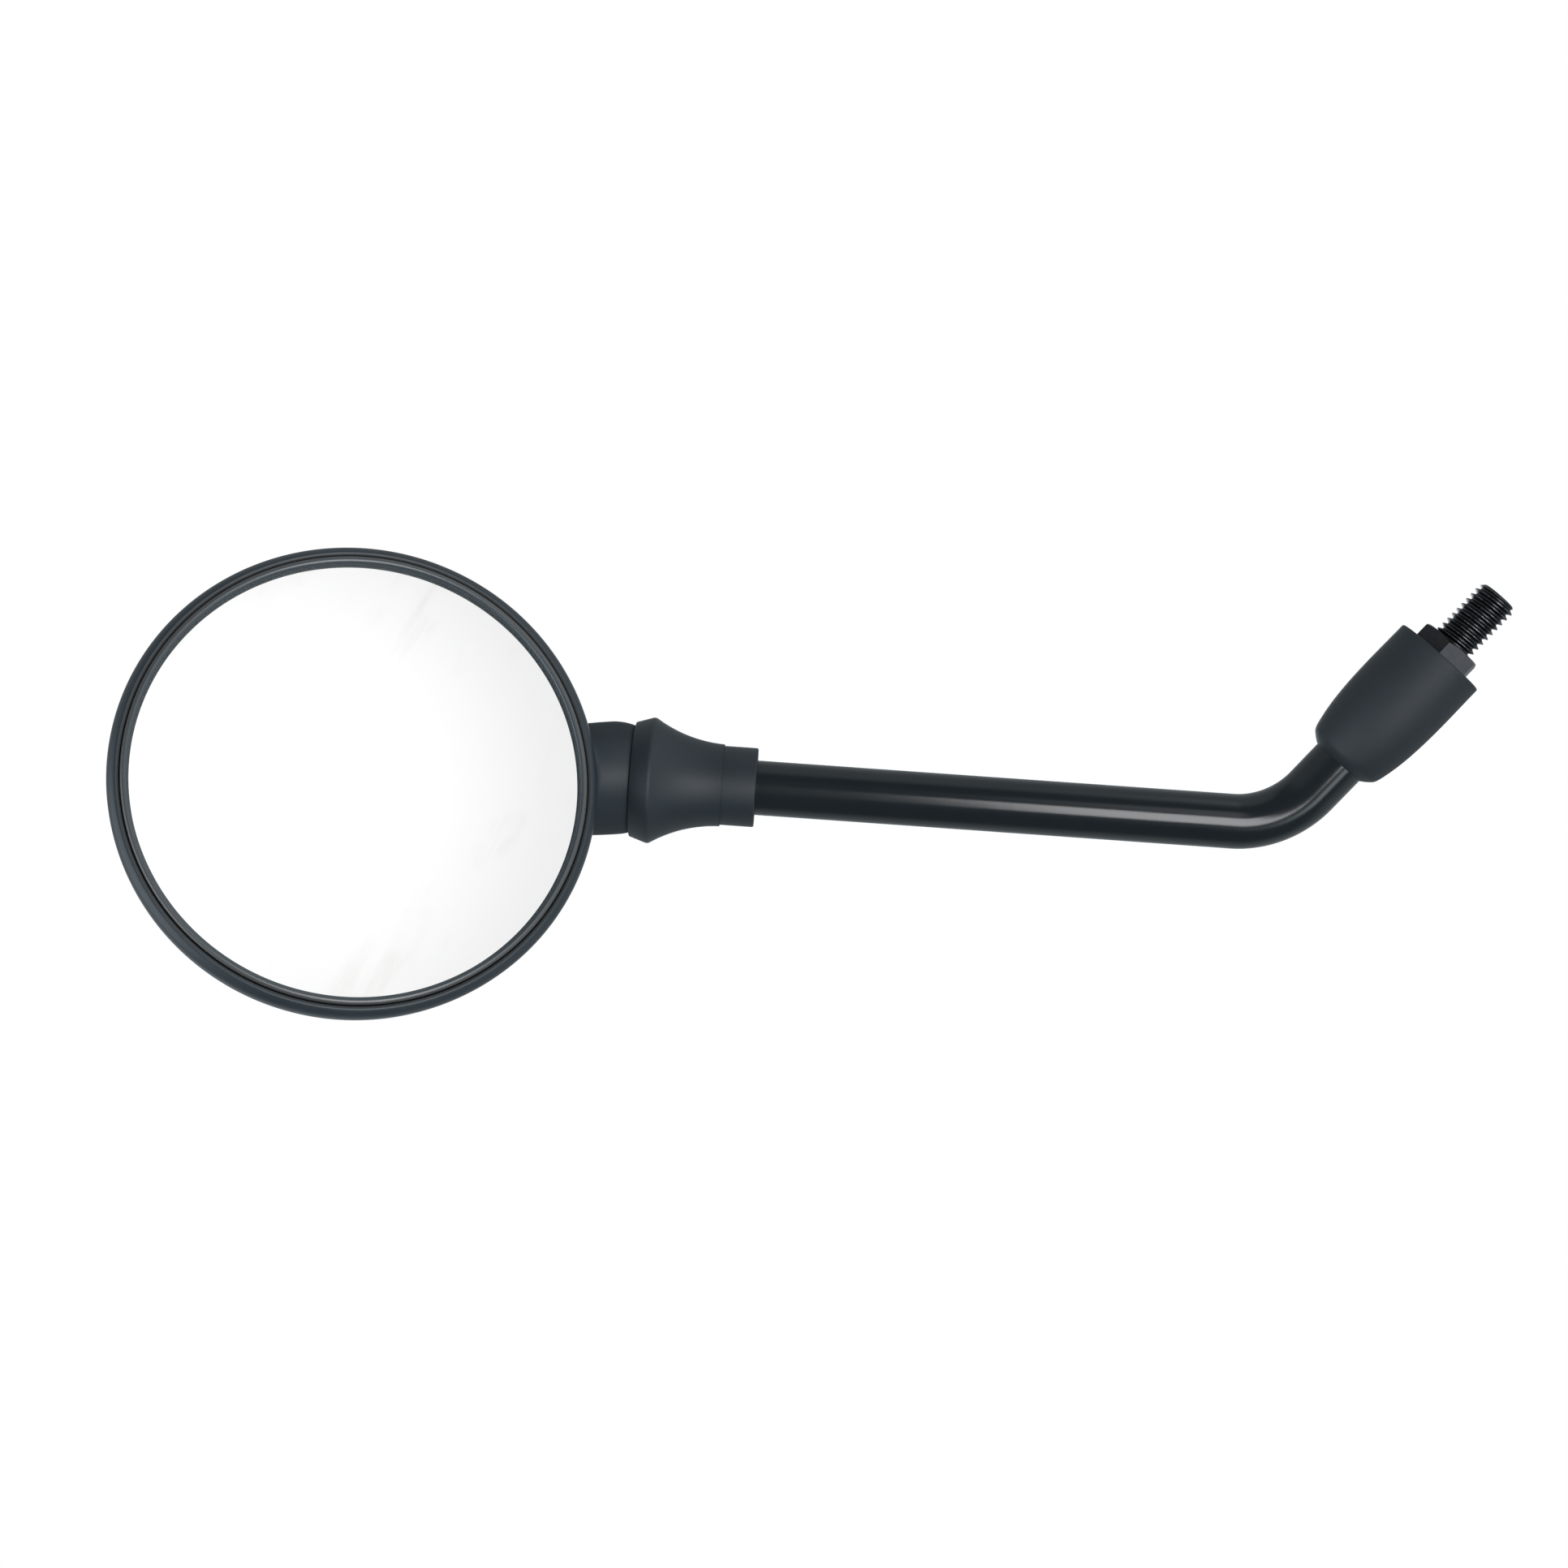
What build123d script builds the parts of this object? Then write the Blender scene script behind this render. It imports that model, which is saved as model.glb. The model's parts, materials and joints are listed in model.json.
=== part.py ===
from build123d import *
import os
from math import acos, atan2, cos, degrees, radians, sin, sqrt, tan

os.makedirs("parts", exist_ok=True)

# Handlebar adapter: a hex body with a threaded stud below it and a threaded hole above
stud_diameter = 10.0
stud_length = 14.8
stud_chamfer = 1.0
hex_flats = 14.0
hex_turn = 55.0
hex_chamfer_height = 0.6
hex_face_inset = 0.1
adapter_height = 16.0
thread_hole_depth = 12.0
nut_height = 6.5

# Bent stem tube, its threaded end and the place of the ball on it
stem_diameter = 13.0
stem_wall = 1.5
bend_angle = 53.0
bend_radius = 22.0
bend_corner_height = 57.1
ball_reach = 156.6
rod_end_room = 0.5
rod_bend_room = 4.1
rod_chamfer = 0.6

# Rubber dust cover over the adapter and the lock nut
cover_start = 3.9
cover_length = 33.1
cover_wall = 2.65
cover_belly = 0.1
cover_belly_height = 8.6
cover_shoulder_inset = 0.43
cover_shoulder_drop = 10.0
cover_crown_inset = 1.43
cover_crown_drop = 4.1
cover_top_wall = 2.3
cover_top_round = 1.8
cover_top_lean = 45.0
cover_end_round = 0.4
cover_hex_room = 0.45
cover_nut_room = 2.2

# Ball stud
ball_radius = 6.5
shank_radius = 3.2
flange_start = 11.6
flange_length = 1.6
flange_taper = 1.8
spigot_length = 16.0

# Rubber joint boot, measured along the stem from the ball centre
boot_lip_place = 4.4
boot_lip_room = 0.38
boot_lip_wall = 0.55
boot_ridge_place = 8.8
boot_ridge_step = 1.45
boot_waist_length = 6.2
boot_waist_wall = 5.2
boot_taper_length = 16.6
boot_cuff_step = 0.35
boot_cuff_wall = 2.78
boot_cuff_length = 8.0
boot_wall = 2.1
boot_grip_length = 11.0
boot_ridge_round = 1.4
boot_end_round = 0.4

# Pose of the head on the ball: turn about the cross axis, lean about the view axis, roll about the neck
head_pan = 19.6
head_lean = 2.6
head_roll = 27.6

# Ball joint inside the neck
liner_wall = 1.0
liner_mouth_angle = 56.0
liner_split = 2.0
liner_pole_angle = 25.0
seat_wall = 0.95
retainer_start = 0.3
retainer_end = 5.1
retainer_throat = 4.0
retainer_flare = 0.74
clip_thickness = 0.95
clip_groove_depth = 0.8
clip_gap_width = 5.0
thrust_wall = 1.4
disc_count = 4
disc_wall = 0.8
disc_dish = 0.6
disc_hole_radius = 4.2
disc_side_room = 0.3

# Mirror head: housing with its neck, glass, pad and bezel
head_radius = 52.7
neck_length = 8.1
rim_offset = 16.5
dome_depth = 32.5
dome_wall = 2.3
dome_flank_inset = 2.5
dome_flank_depth = 10.5
dome_flank_wall = 3.2
dome_back_inset = 21.7
dome_back_rise = 4.5
rim_bead_width = 2.5
rim_bead_height = 2.8
rim_crest_inset = 1.5
rim_inner_height = 2.2
rim_groove_width = 0.2
pad_ledge_depth = 2.4
pad_ledge_width = 2.2
neck_radius = 13.3
neck_mouth_wall = 0.85
neck_root_reach = 34.0
neck_root_radius = 8.5
neck_root_round = 2.0
neck_floor_wall = 2.4
boss_wall = 2.4
bezel_width = 1.7
bezel_height = 3.3
bezel_bead_base = 2.3
bezel_leg_wall = 0.65
bezel_leg_depth = 3.4
bezel_lip_underside = 1.35
glass_thickness = 2.0
glass_curve_radius = 1200.0
glass_edge_room = 0.2
pad_thickness = 1.4
pad_edge_room = 1.4
rib_count = 6
rib_wall = 1.6
rib_inner_radius = 8.0
rib_outer_inset = 15.7
rib_top_depth = 3.0
rib_turn = 30.0

# Clearances
fit_gap = 0.05
seat_gap = 0.1
turn_gap = 0.2

# Derived sizes of the base and the stem
hex_corner_radius = hex_flats / 2 / cos(radians(30))
hex_face_radius = hex_flats / 2 - hex_face_inset
stem_radius = stem_diameter / 2
rod_radius = stem_radius - stem_wall - fit_gap
nut_start = adapter_height + turn_gap
nut_end = nut_start + nut_height
tube_start = nut_end + turn_gap
bend_start = bend_corner_height - bend_radius * tan(radians(bend_angle / 2))
rod_bottom_height = adapter_height - thread_hole_depth + rod_end_room
rod_top_height = bend_start - rod_bend_room
cover_top = cover_start + cover_length
cover_bore_radius = stem_radius + fit_gap
cover_hex_radius = hex_corner_radius + cover_hex_room
cover_neck_start = nut_end + cover_nut_room
cover_neck_end = cover_neck_start + cover_hex_radius - cover_bore_radius
cover_end_radius = cover_hex_radius + cover_wall
cover_top_radius = cover_bore_radius + cover_top_wall
cover_top_tangent = (-sin(radians(cover_top_lean)), cos(radians(cover_top_lean)))
flange_end = flange_start + flange_length
tube_end = flange_end + fit_gap
shank_start = sqrt(ball_radius**2 - shank_radius**2)

# Derived sizes of the ball joint
liner_inner_radius = ball_radius + fit_gap
liner_outer_radius = liner_inner_radius + liner_wall
seat_radius = liner_outer_radius + fit_gap
joint_bore_radius = seat_radius + seat_wall + fit_gap
ring_outer_radius = joint_bore_radius - fit_gap
retainer_mouth_radius = sqrt(seat_radius**2 - retainer_throat**2) + retainer_flare
clip_start = retainer_end + fit_gap
clip_groove_radius = joint_bore_radius + clip_groove_depth
clip_groove_end = clip_start + clip_thickness + fit_gap
clip_outer_radius = clip_groove_radius - seat_gap
thrust_seat_end = seat_radius + thrust_wall
disc_height = disc_wall + disc_dish
disc_radius = joint_bore_radius - disc_side_room
disc_pitch = disc_height + fit_gap
joint_floor = thrust_seat_end + fit_gap + disc_count * disc_pitch
boss_radius = joint_bore_radius + boss_wall
boss_end = joint_floor + neck_floor_wall
neck_mouth_place = clip_groove_end + neck_mouth_wall
neck_drop = neck_radius - neck_root_radius
neck_flank_radius = (neck_root_reach**2 + neck_drop**2) / (2 * neck_drop)
neck_core_drop = neck_flank_radius - sqrt(neck_flank_radius**2 - boss_end**2)
neck_core_radius = neck_radius - neck_core_drop - dome_wall

# Derived sizes of the boot
lip_inner_radius = sqrt((neck_radius + boot_lip_room) ** 2 - boot_lip_place**2)
lip_outer_radius = lip_inner_radius + boot_lip_wall
boot_ridge_radius = lip_outer_radius + boot_ridge_step
boot_waist_radius = cover_bore_radius + boot_waist_wall
boot_waist_place = boot_ridge_place + boot_waist_length
boot_cuff_radius = cover_bore_radius + boot_cuff_wall
boot_taper_radius = boot_cuff_radius + boot_cuff_step
boot_cuff_place = boot_ridge_place + boot_taper_length
boot_end = boot_cuff_place + boot_cuff_length

# Derived sizes of the head
head_reach = neck_length + head_radius
dome_flank_radius = head_radius - dome_flank_inset
dome_back_radius = head_radius - dome_back_inset
dome_back_depth = dome_depth - dome_back_rise
dome_slope = atan2(dome_back_depth - dome_flank_depth, dome_flank_radius - dome_back_radius)
hollow_flank_radius = dome_flank_radius - dome_flank_wall
hollow_back_radius = dome_back_radius - dome_wall * sin(dome_slope)
hollow_back_depth = dome_back_depth - dome_wall * cos(dome_slope)
hollow_depth = dome_depth - dome_wall
rib_outer_radius = head_radius - rib_outer_inset
rib_length = rib_outer_radius - rib_inner_radius
rim_crest_radius = head_radius - rim_crest_inset
rim_wall_radius = head_radius - rim_bead_width
bezel_outer_radius = rim_wall_radius - rim_groove_width
bezel_inner_radius = bezel_outer_radius - bezel_width
bezel_leg_radius = bezel_outer_radius - bezel_leg_wall
glass_radius = bezel_leg_radius - glass_edge_room
glass_edge_height = bezel_lip_underside - seat_gap
glass_sag = glass_curve_radius - sqrt(glass_curve_radius**2 - glass_radius**2)
pad_radius = glass_radius - pad_edge_room
pad_sag = glass_curve_radius - sqrt(glass_curve_radius**2 - pad_radius**2)
pad_top = glass_edge_height + glass_sag - glass_thickness - fit_gap

# Planes: along the stem from the ball, aligned with the stem, and turned with the head
stem_direction = Vector(sin(radians(bend_angle)), 0, cos(radians(bend_angle)))
ball_centre = Vector(0, 0, bend_corner_height) + stem_direction * ball_reach
stem_axis = Axis(ball_centre, stem_direction)
stem_plane = Plane(origin=ball_centre, x_dir=-stem_direction, z_dir=(0, -1, 0))
aligned_plane = Plane(origin=ball_centre, x_dir=stem_direction, z_dir=(0, -1, 0))
pan_plane = Plane(aligned_plane.location * Rotation(0, -head_pan, 0))
lean_plane = Plane(pan_plane.location * Rotation(0, 0, head_lean))
head_plane = Plane(lean_plane.location * Rotation(head_roll, 0, 0))
neck_axis = Axis(ball_centre, head_plane.x_dir)
pan_axis = Axis(ball_centre, pan_plane.x_dir)
rim_centre = ball_centre + head_plane.x_dir * head_reach + head_plane.z_dir * rim_offset
head_axis = Axis(rim_centre, head_plane.z_dir)
rim_plane = Plane(origin=rim_centre, x_dir=head_plane.x_dir, z_dir=head_plane.z_dir)
head_section = Plane(origin=rim_centre, x_dir=head_plane.x_dir, z_dir=-head_plane.y_dir)


# Handlebar adapter: hex body with chamfered corners, stud and threaded hole
with BuildPart() as base_adapter:
    with BuildSketch(Plane.XY):
        RegularPolygon(radius=hex_flats / 2, side_count=6, major_radius=False, rotation=hex_turn)
    extrude(amount=adapter_height)
    with BuildSketch(Plane.XZ):
        with BuildLine():
            Polyline(
                (0, 0),
                (hex_face_radius, 0),
                (hex_corner_radius, hex_chamfer_height),
                (hex_corner_radius, adapter_height - hex_chamfer_height),
                (hex_face_radius, adapter_height),
                (0, adapter_height),
                close=True,
            )
        make_face()
    revolve(axis=Axis.Z, mode=Mode.INTERSECT)
    with BuildSketch(Plane.XY):
        Circle(stud_diameter / 2)
    extrude(amount=-stud_length)
    chamfer(base_adapter.faces().sort_by(Axis.Z)[0].edges(), length=stud_chamfer)
    with Locations((0, 0, adapter_height)):
        Hole(radius=rod_radius + fit_gap, depth=thread_hole_depth)
base_adapter.part.label = "base_adapter"
export_step(base_adapter.part, "parts/base_adapter.step")


# Lock nut that clamps the stem to the adapter
with BuildPart() as lock_nut:
    with BuildSketch(Plane.XY.offset(nut_start)):
        RegularPolygon(radius=hex_flats / 2, side_count=6, major_radius=False)
        Circle(rod_radius + fit_gap, mode=Mode.SUBTRACT)
    extrude(amount=nut_height)
    with BuildSketch(Plane.XZ):
        with BuildLine():
            Polyline(
                (0, nut_start),
                (hex_face_radius, nut_start),
                (hex_corner_radius, nut_start + hex_chamfer_height),
                (hex_corner_radius, nut_start + nut_height - hex_chamfer_height),
                (hex_face_radius, nut_start + nut_height),
                (0, nut_start + nut_height),
                close=True,
            )
        make_face()
    revolve(axis=Axis.Z, mode=Mode.INTERSECT)
lock_nut.part.label = "lock_nut"
export_step(lock_nut.part, "parts/lock_nut.step")


# Threaded rod welded into the bottom of the stem tube
with BuildPart() as stem_end:
    with BuildSketch(Plane.XY.offset(rod_bottom_height)):
        Circle(rod_radius)
    extrude(amount=rod_top_height - rod_bottom_height)
    chamfer(stem_end.edges(), length=rod_chamfer)
stem_end.part.label = "stem_end"
export_step(stem_end.part, "parts/stem_end.step")


# Stem tube: one straight foot, one bend, one long straight run up to the ball stud
with BuildPart() as stem_tube:
    with BuildLine(Plane.XZ):
        tube_top = ball_centre - stem_direction * tube_end
        FilletPolyline(
            (0, tube_start),
            (0, bend_corner_height),
            (tube_top.X, tube_top.Z),
            radius=bend_radius,
        )
    with BuildSketch(Plane.XY.offset(tube_start)):
        Circle(stem_radius)
        Circle(stem_radius - stem_wall, mode=Mode.SUBTRACT)
    sweep()
stem_tube.part.label = "stem_tube"
export_step(stem_tube.part, "parts/stem_tube.step")


# Dust cover: barrel with a wide hex chamber and a grip on the tube
with BuildPart() as base_cover:
    with BuildSketch(Plane.XZ):
        with BuildLine():
            Polyline(
                (cover_bore_radius, cover_top),
                (cover_bore_radius, cover_neck_end),
                (cover_hex_radius, cover_neck_start),
                (cover_hex_radius, cover_start),
                (cover_end_radius, cover_start),
            )
            Spline(
                (cover_end_radius, cover_start),
                (cover_end_radius + cover_belly, cover_start + cover_belly_height),
                (cover_end_radius - cover_shoulder_inset, cover_top - cover_shoulder_drop),
                (cover_end_radius - cover_crown_inset, cover_top - cover_crown_drop),
                (cover_top_radius, cover_top - cover_top_round),
                tangents=((0, 1), cover_top_tangent),
            )
            TangentArc(
                (cover_top_radius, cover_top - cover_top_round),
                (cover_bore_radius, cover_top),
                tangent=cover_top_tangent,
            )
        make_face()
    revolve(axis=Axis.Z)
    cover_end_edges = base_cover.edges().filter_by(GeomType.CIRCLE).group_by(Axis.Z)[0]
    fillet(cover_end_edges.sort_by(SortBy.RADIUS)[-1], cover_end_round)
base_cover.part.label = "base_cover"
export_step(base_cover.part, "parts/base_cover.step")


# Ball stud pressed into the upper end of the tube
with BuildPart() as ball_stud:
    with BuildSketch(stem_plane):
        with BuildLine():
            ThreePointArc((-ball_radius, 0), (0, ball_radius), (shank_start, shank_radius))
            Polyline(
                (shank_start, shank_radius),
                (flange_start - flange_taper, shank_radius),
                (flange_start, stem_radius),
                (flange_end, stem_radius),
                (flange_end, rod_radius),
                (flange_end + spigot_length, rod_radius),
                (flange_end + spigot_length, 0),
                (-ball_radius, 0),
            )
        make_face()
    revolve(axis=stem_axis)
ball_stud.part.label = "ball_stud"
export_step(ball_stud.part, "parts/ball_stud.step")


# Joint boot: thin lip round the neck, raised ridge, hollow taper and a cuff that grips the tube
with BuildPart() as joint_boot:
    with BuildSketch(stem_plane):
        with BuildLine():
            Polyline(
                (boot_lip_place, lip_inner_radius),
                (boot_lip_place, lip_outer_radius),
                (boot_ridge_place, boot_ridge_radius),
            )
            Spline(
                (boot_ridge_place, boot_ridge_radius),
                (boot_waist_place, boot_waist_radius),
                (boot_cuff_place, boot_taper_radius),
            )
            Polyline(
                (boot_cuff_place, boot_taper_radius),
                (boot_cuff_place, boot_cuff_radius),
                (boot_end, boot_cuff_radius),
                (boot_end, cover_bore_radius),
                (boot_end - boot_grip_length, cover_bore_radius),
                (boot_waist_place, boot_waist_radius - boot_wall),
                (boot_ridge_place, boot_ridge_radius - boot_wall),
                (boot_lip_place, lip_inner_radius),
            )
        make_face()
    revolve(axis=stem_axis)
    boot_ridge = joint_boot.edges().filter_by(GeomType.CIRCLE).sort_by(SortBy.RADIUS)[-1]
    fillet(boot_ridge, boot_ridge_round)
    boot_end_edges = joint_boot.faces().sort_by(stem_axis)[0].edges()
    fillet(boot_end_edges.sort_by(SortBy.RADIUS)[-1], boot_end_round)
joint_boot.part.label = "joint_boot"
export_step(joint_boot.part, "parts/joint_boot.step")


# Outer ball liner: spherical zone between the ball and the retainer ring
with BuildPart() as ball_liner_outer:
    mouth_turn = 180 - liner_mouth_angle
    with BuildSketch(pan_plane):
        with BuildLine():
            outer_zone = CenterArc((0, 0), liner_outer_radius, 90, mouth_turn - 90)
            inner_zone = CenterArc((0, 0), liner_inner_radius, 90, mouth_turn - 90)
            Line(outer_zone @ 0, inner_zone @ 0)
            Line(outer_zone @ 1, inner_zone @ 1)
        make_face()
    revolve(axis=pan_axis)
ball_liner_outer.part.label = "ball_liner_outer"
export_step(ball_liner_outer.part, "parts/ball_liner_outer.step")


# Inner ball liner: spherical cup between the ball and the thrust seat
with BuildPart() as ball_liner_inner:
    cup_angle = degrees(acos(liner_split / liner_inner_radius)) - liner_pole_angle
    with BuildSketch(lean_plane):
        with BuildLine():
            outer_cup = CenterArc((0, 0), liner_outer_radius, liner_pole_angle, cup_angle)
            inner_cup = CenterArc((0, 0), liner_inner_radius, liner_pole_angle, cup_angle)
            Line(outer_cup @ 0, inner_cup @ 0)
            Line(outer_cup @ 1, inner_cup @ 1)
        make_face()
    revolve(axis=neck_axis)
ball_liner_inner.part.label = "ball_liner_inner"
export_step(ball_liner_inner.part, "parts/ball_liner_inner.step")


# Retainer ring with a spherical seat and a flared mouth
with BuildPart() as retainer_ring:
    with BuildSketch(head_plane):
        with BuildLine():
            seat_from = degrees(acos(-retainer_start / seat_radius))
            seat_to = degrees(acos(-retainer_throat / seat_radius))
            ring_seat = CenterArc((0, 0), seat_radius, seat_from, seat_to - seat_from)
            Polyline(
                ring_seat @ 1,
                (-retainer_end, retainer_mouth_radius),
                (-retainer_end, ring_outer_radius),
                (-retainer_start, ring_outer_radius),
                ring_seat @ 0,
            )
        make_face()
    revolve(axis=neck_axis)
retainer_ring.part.label = "retainer_ring"
export_step(retainer_ring.part, "parts/retainer_ring.step")


# Snap ring that holds the retainer in the neck
with BuildPart() as snap_ring:
    clip_plane = Plane(
        origin=ball_centre - head_plane.x_dir * clip_start,
        x_dir=head_plane.y_dir,
        z_dir=-head_plane.x_dir,
    )
    with BuildSketch(clip_plane):
        Circle(clip_outer_radius)
        Circle(retainer_mouth_radius, mode=Mode.SUBTRACT)
        with Locations((clip_outer_radius, 0)):
            Rectangle(clip_outer_radius, clip_gap_width, mode=Mode.SUBTRACT)
    extrude(amount=clip_thickness)
snap_ring.part.label = "snap_ring"
export_step(snap_ring.part, "parts/snap_ring.step")


# Thrust seat: cup that the disc springs press against the inner liner
with BuildPart() as thrust_seat:
    with BuildSketch(head_plane):
        with BuildLine():
            cup_from = liner_pole_angle
            cup_to = degrees(acos((liner_split + turn_gap) / seat_radius))
            cup_seat = CenterArc((0, 0), seat_radius, cup_from, cup_to - cup_from)
            cup_hole_radius = seat_radius * sin(radians(cup_from))
            Polyline(
                cup_seat @ 0,
                (thrust_seat_end, cup_hole_radius),
                (thrust_seat_end, ring_outer_radius),
                (liner_split + turn_gap, ring_outer_radius),
                cup_seat @ 1,
            )
        make_face()
    revolve(axis=neck_axis)
thrust_seat.part.label = "thrust_seat"
export_step(thrust_seat.part, "parts/thrust_seat.step")


# Disc springs, dished alternately left and right
for disc_number in range(disc_count):
    disc_start = thrust_seat_end + fit_gap + disc_number * disc_pitch
    inner_shift = disc_dish * (disc_number % 2)
    outer_shift = disc_dish - inner_shift
    with BuildPart() as disc_spring:
        with BuildSketch(head_plane):
            with BuildLine():
                Polyline(
                    (disc_start + inner_shift, disc_hole_radius),
                    (disc_start + inner_shift + disc_wall, disc_hole_radius),
                    (disc_start + outer_shift + disc_wall, disc_radius),
                    (disc_start + outer_shift, disc_radius),
                    close=True,
                )
            make_face()
        revolve(axis=neck_axis)
    disc_name = f"disc_spring_{disc_number + 1}"
    disc_spring.part.label = disc_name
    export_step(disc_spring.part, f"parts/{disc_name}.step")


# Hollow of the housing: bezel slot, pad ledge and inner dome, with the joint boss and the ribs left standing
with BuildPart() as head_hollow:
    slot_inner_radius = bezel_leg_radius - seat_gap
    slot_floor = -bezel_leg_depth - turn_gap
    with BuildSketch(head_section):
        with BuildLine():
            Polyline(
                (0, -hollow_depth),
                (0, bezel_height),
                (rim_wall_radius, bezel_height),
                (rim_wall_radius, slot_floor),
                (slot_inner_radius, slot_floor),
                (slot_inner_radius, -pad_ledge_depth),
                (slot_inner_radius - pad_ledge_width, -pad_ledge_depth),
            )
            Spline(
                (slot_inner_radius - pad_ledge_width, -pad_ledge_depth),
                (hollow_flank_radius, -dome_flank_depth),
                (hollow_back_radius, -hollow_back_depth),
                (0, -hollow_depth),
                tangents=((0, -1), (-1, 0)),
            )
        make_face()
    revolve(axis=head_axis)
    with BuildSketch(head_plane):
        with BuildLine():
            Polyline((0, 0), (0, boss_radius), (boss_end, boss_radius), (boss_end, 0), close=True)
        make_face()
    revolve(axis=neck_axis, mode=Mode.SUBTRACT)
    with BuildSketch(rim_plane.offset(-rib_top_depth)):
        with PolarLocations(rib_inner_radius + rib_length / 2, rib_count, start_angle=rib_turn):
            Rectangle(rib_length, rib_wall)
    extrude(amount=-dome_depth, mode=Mode.SUBTRACT)


# Housing: dished shell with a beaded rim, a neck with a ball end, a joint bore and ribs under the pad
with BuildPart() as mirror_housing:
    with BuildSketch(head_section):
        with BuildLine():
            Spline(
                (0, -dome_depth),
                (dome_back_radius, -dome_back_depth),
                (dome_flank_radius, -dome_flank_depth),
                (head_radius, 0),
                tangents=((1, 0), (0, 1)),
            )
            rim_flank = TangentArc((head_radius, 0), (rim_crest_radius, rim_bead_height), tangent=(0, 1))
            rim_roll = TangentArc(rim_flank @ 1, (rim_wall_radius, rim_inner_height), tangent=rim_flank % 1)
            Polyline(rim_roll @ 1, (rim_wall_radius, 0), (0, 0), (0, -dome_depth))
        make_face()
    revolve(axis=head_axis)
    with BuildSketch(head_plane):
        with BuildLine():
            neck_ball_angle = degrees(acos(-neck_mouth_place / neck_radius))
            neck_ball = CenterArc((0, 0), neck_radius, 90, neck_ball_angle - 90)
            neck_flank = TangentArc(neck_ball @ 0, (neck_root_reach, neck_root_radius), tangent=(1, 0))
            Polyline(neck_flank @ 1, (neck_root_reach, 0), (-neck_mouth_place, 0), neck_ball @ 1)
        make_face()
    revolve(axis=neck_axis)
    neck_seam = mirror_housing.edges(Select.NEW).filter_by(GeomType.BSPLINE)
    fillet(neck_seam, neck_root_round)
    add(head_hollow.part, mode=Mode.SUBTRACT)
    with BuildSketch(head_plane):
        with BuildLine():
            Polyline(
                (-neck_mouth_place, 0),
                (-neck_mouth_place, joint_bore_radius),
                (-clip_groove_end, joint_bore_radius),
                (-clip_groove_end, clip_groove_radius),
                (-clip_start + fit_gap, clip_groove_radius),
                (-clip_start + fit_gap, joint_bore_radius),
                (joint_floor, joint_bore_radius),
                (joint_floor, 0),
                close=True,
            )
        make_face()
    revolve(axis=neck_axis, mode=Mode.SUBTRACT)
    with BuildSketch(head_plane):
        with BuildLine():
            Polyline(
                (boss_end, 0),
                (boss_end, neck_core_radius),
                (neck_root_reach, neck_root_radius - dome_wall),
                (neck_root_reach, 0),
                close=True,
            )
        make_face()
    revolve(axis=neck_axis, mode=Mode.SUBTRACT)
mirror_housing.part.label = "mirror_housing"
export_step(mirror_housing.part, "parts/mirror_housing.step")


# Convex mirror glass
with BuildPart() as mirror_glass:
    with BuildSketch(head_section):
        with BuildLine():
            glass_front = ThreePointArc(
                (-glass_radius, glass_edge_height),
                (0, glass_edge_height + glass_sag),
                (glass_radius, glass_edge_height),
            )
            glass_back = ThreePointArc(
                (-glass_radius, glass_edge_height - glass_thickness),
                (0, glass_edge_height + glass_sag - glass_thickness),
                (glass_radius, glass_edge_height - glass_thickness),
            )
            Line(glass_front @ 0, glass_back @ 0)
            Line(glass_front @ 1, glass_back @ 1)
        make_face()
        split(bisect_by=Plane.YZ)
    revolve(axis=head_axis)
mirror_glass.part.label = "mirror_glass"
export_step(mirror_glass.part, "parts/mirror_glass.step")


# Foam pad glued behind the glass
with BuildPart() as glass_pad:
    with BuildSketch(head_section):
        with BuildLine():
            pad_front = ThreePointArc(
                (-pad_radius, pad_top - pad_sag),
                (0, pad_top),
                (pad_radius, pad_top - pad_sag),
            )
            pad_back = ThreePointArc(
                (-pad_radius, pad_top - pad_sag - pad_thickness),
                (0, pad_top - pad_thickness),
                (pad_radius, pad_top - pad_sag - pad_thickness),
            )
            Line(pad_front @ 0, pad_back @ 0)
            Line(pad_front @ 1, pad_back @ 1)
        make_face()
        split(bisect_by=Plane.YZ)
    revolve(axis=head_axis)
glass_pad.part.label = "glass_pad"
export_step(glass_pad.part, "parts/glass_pad.step")


# Bezel ring: a bead over the edge of the glass and a leg that clips into the housing
with BuildPart() as bezel_ring:
    with BuildSketch(head_section):
        with BuildLine():
            bezel_bead = ThreePointArc(
                (bezel_outer_radius, bezel_bead_base),
                (bezel_outer_radius - bezel_width / 2, bezel_height),
                (bezel_inner_radius, bezel_bead_base),
            )
            Polyline(
                bezel_bead @ 1,
                (bezel_inner_radius, bezel_lip_underside),
                (bezel_leg_radius, bezel_lip_underside),
                (bezel_leg_radius, -bezel_leg_depth),
                (bezel_outer_radius, -bezel_leg_depth),
                bezel_bead @ 0,
            )
        make_face()
    revolve(axis=head_axis)
bezel_ring.part.label = "bezel_ring"
export_step(bezel_ring.part, "parts/bezel_ring.step")
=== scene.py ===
import json
import math

import bmesh
import bpy
import numpy as np
from mathutils import Matrix, Vector
from mathutils.geometry import delaunay_2d_cdt


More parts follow.
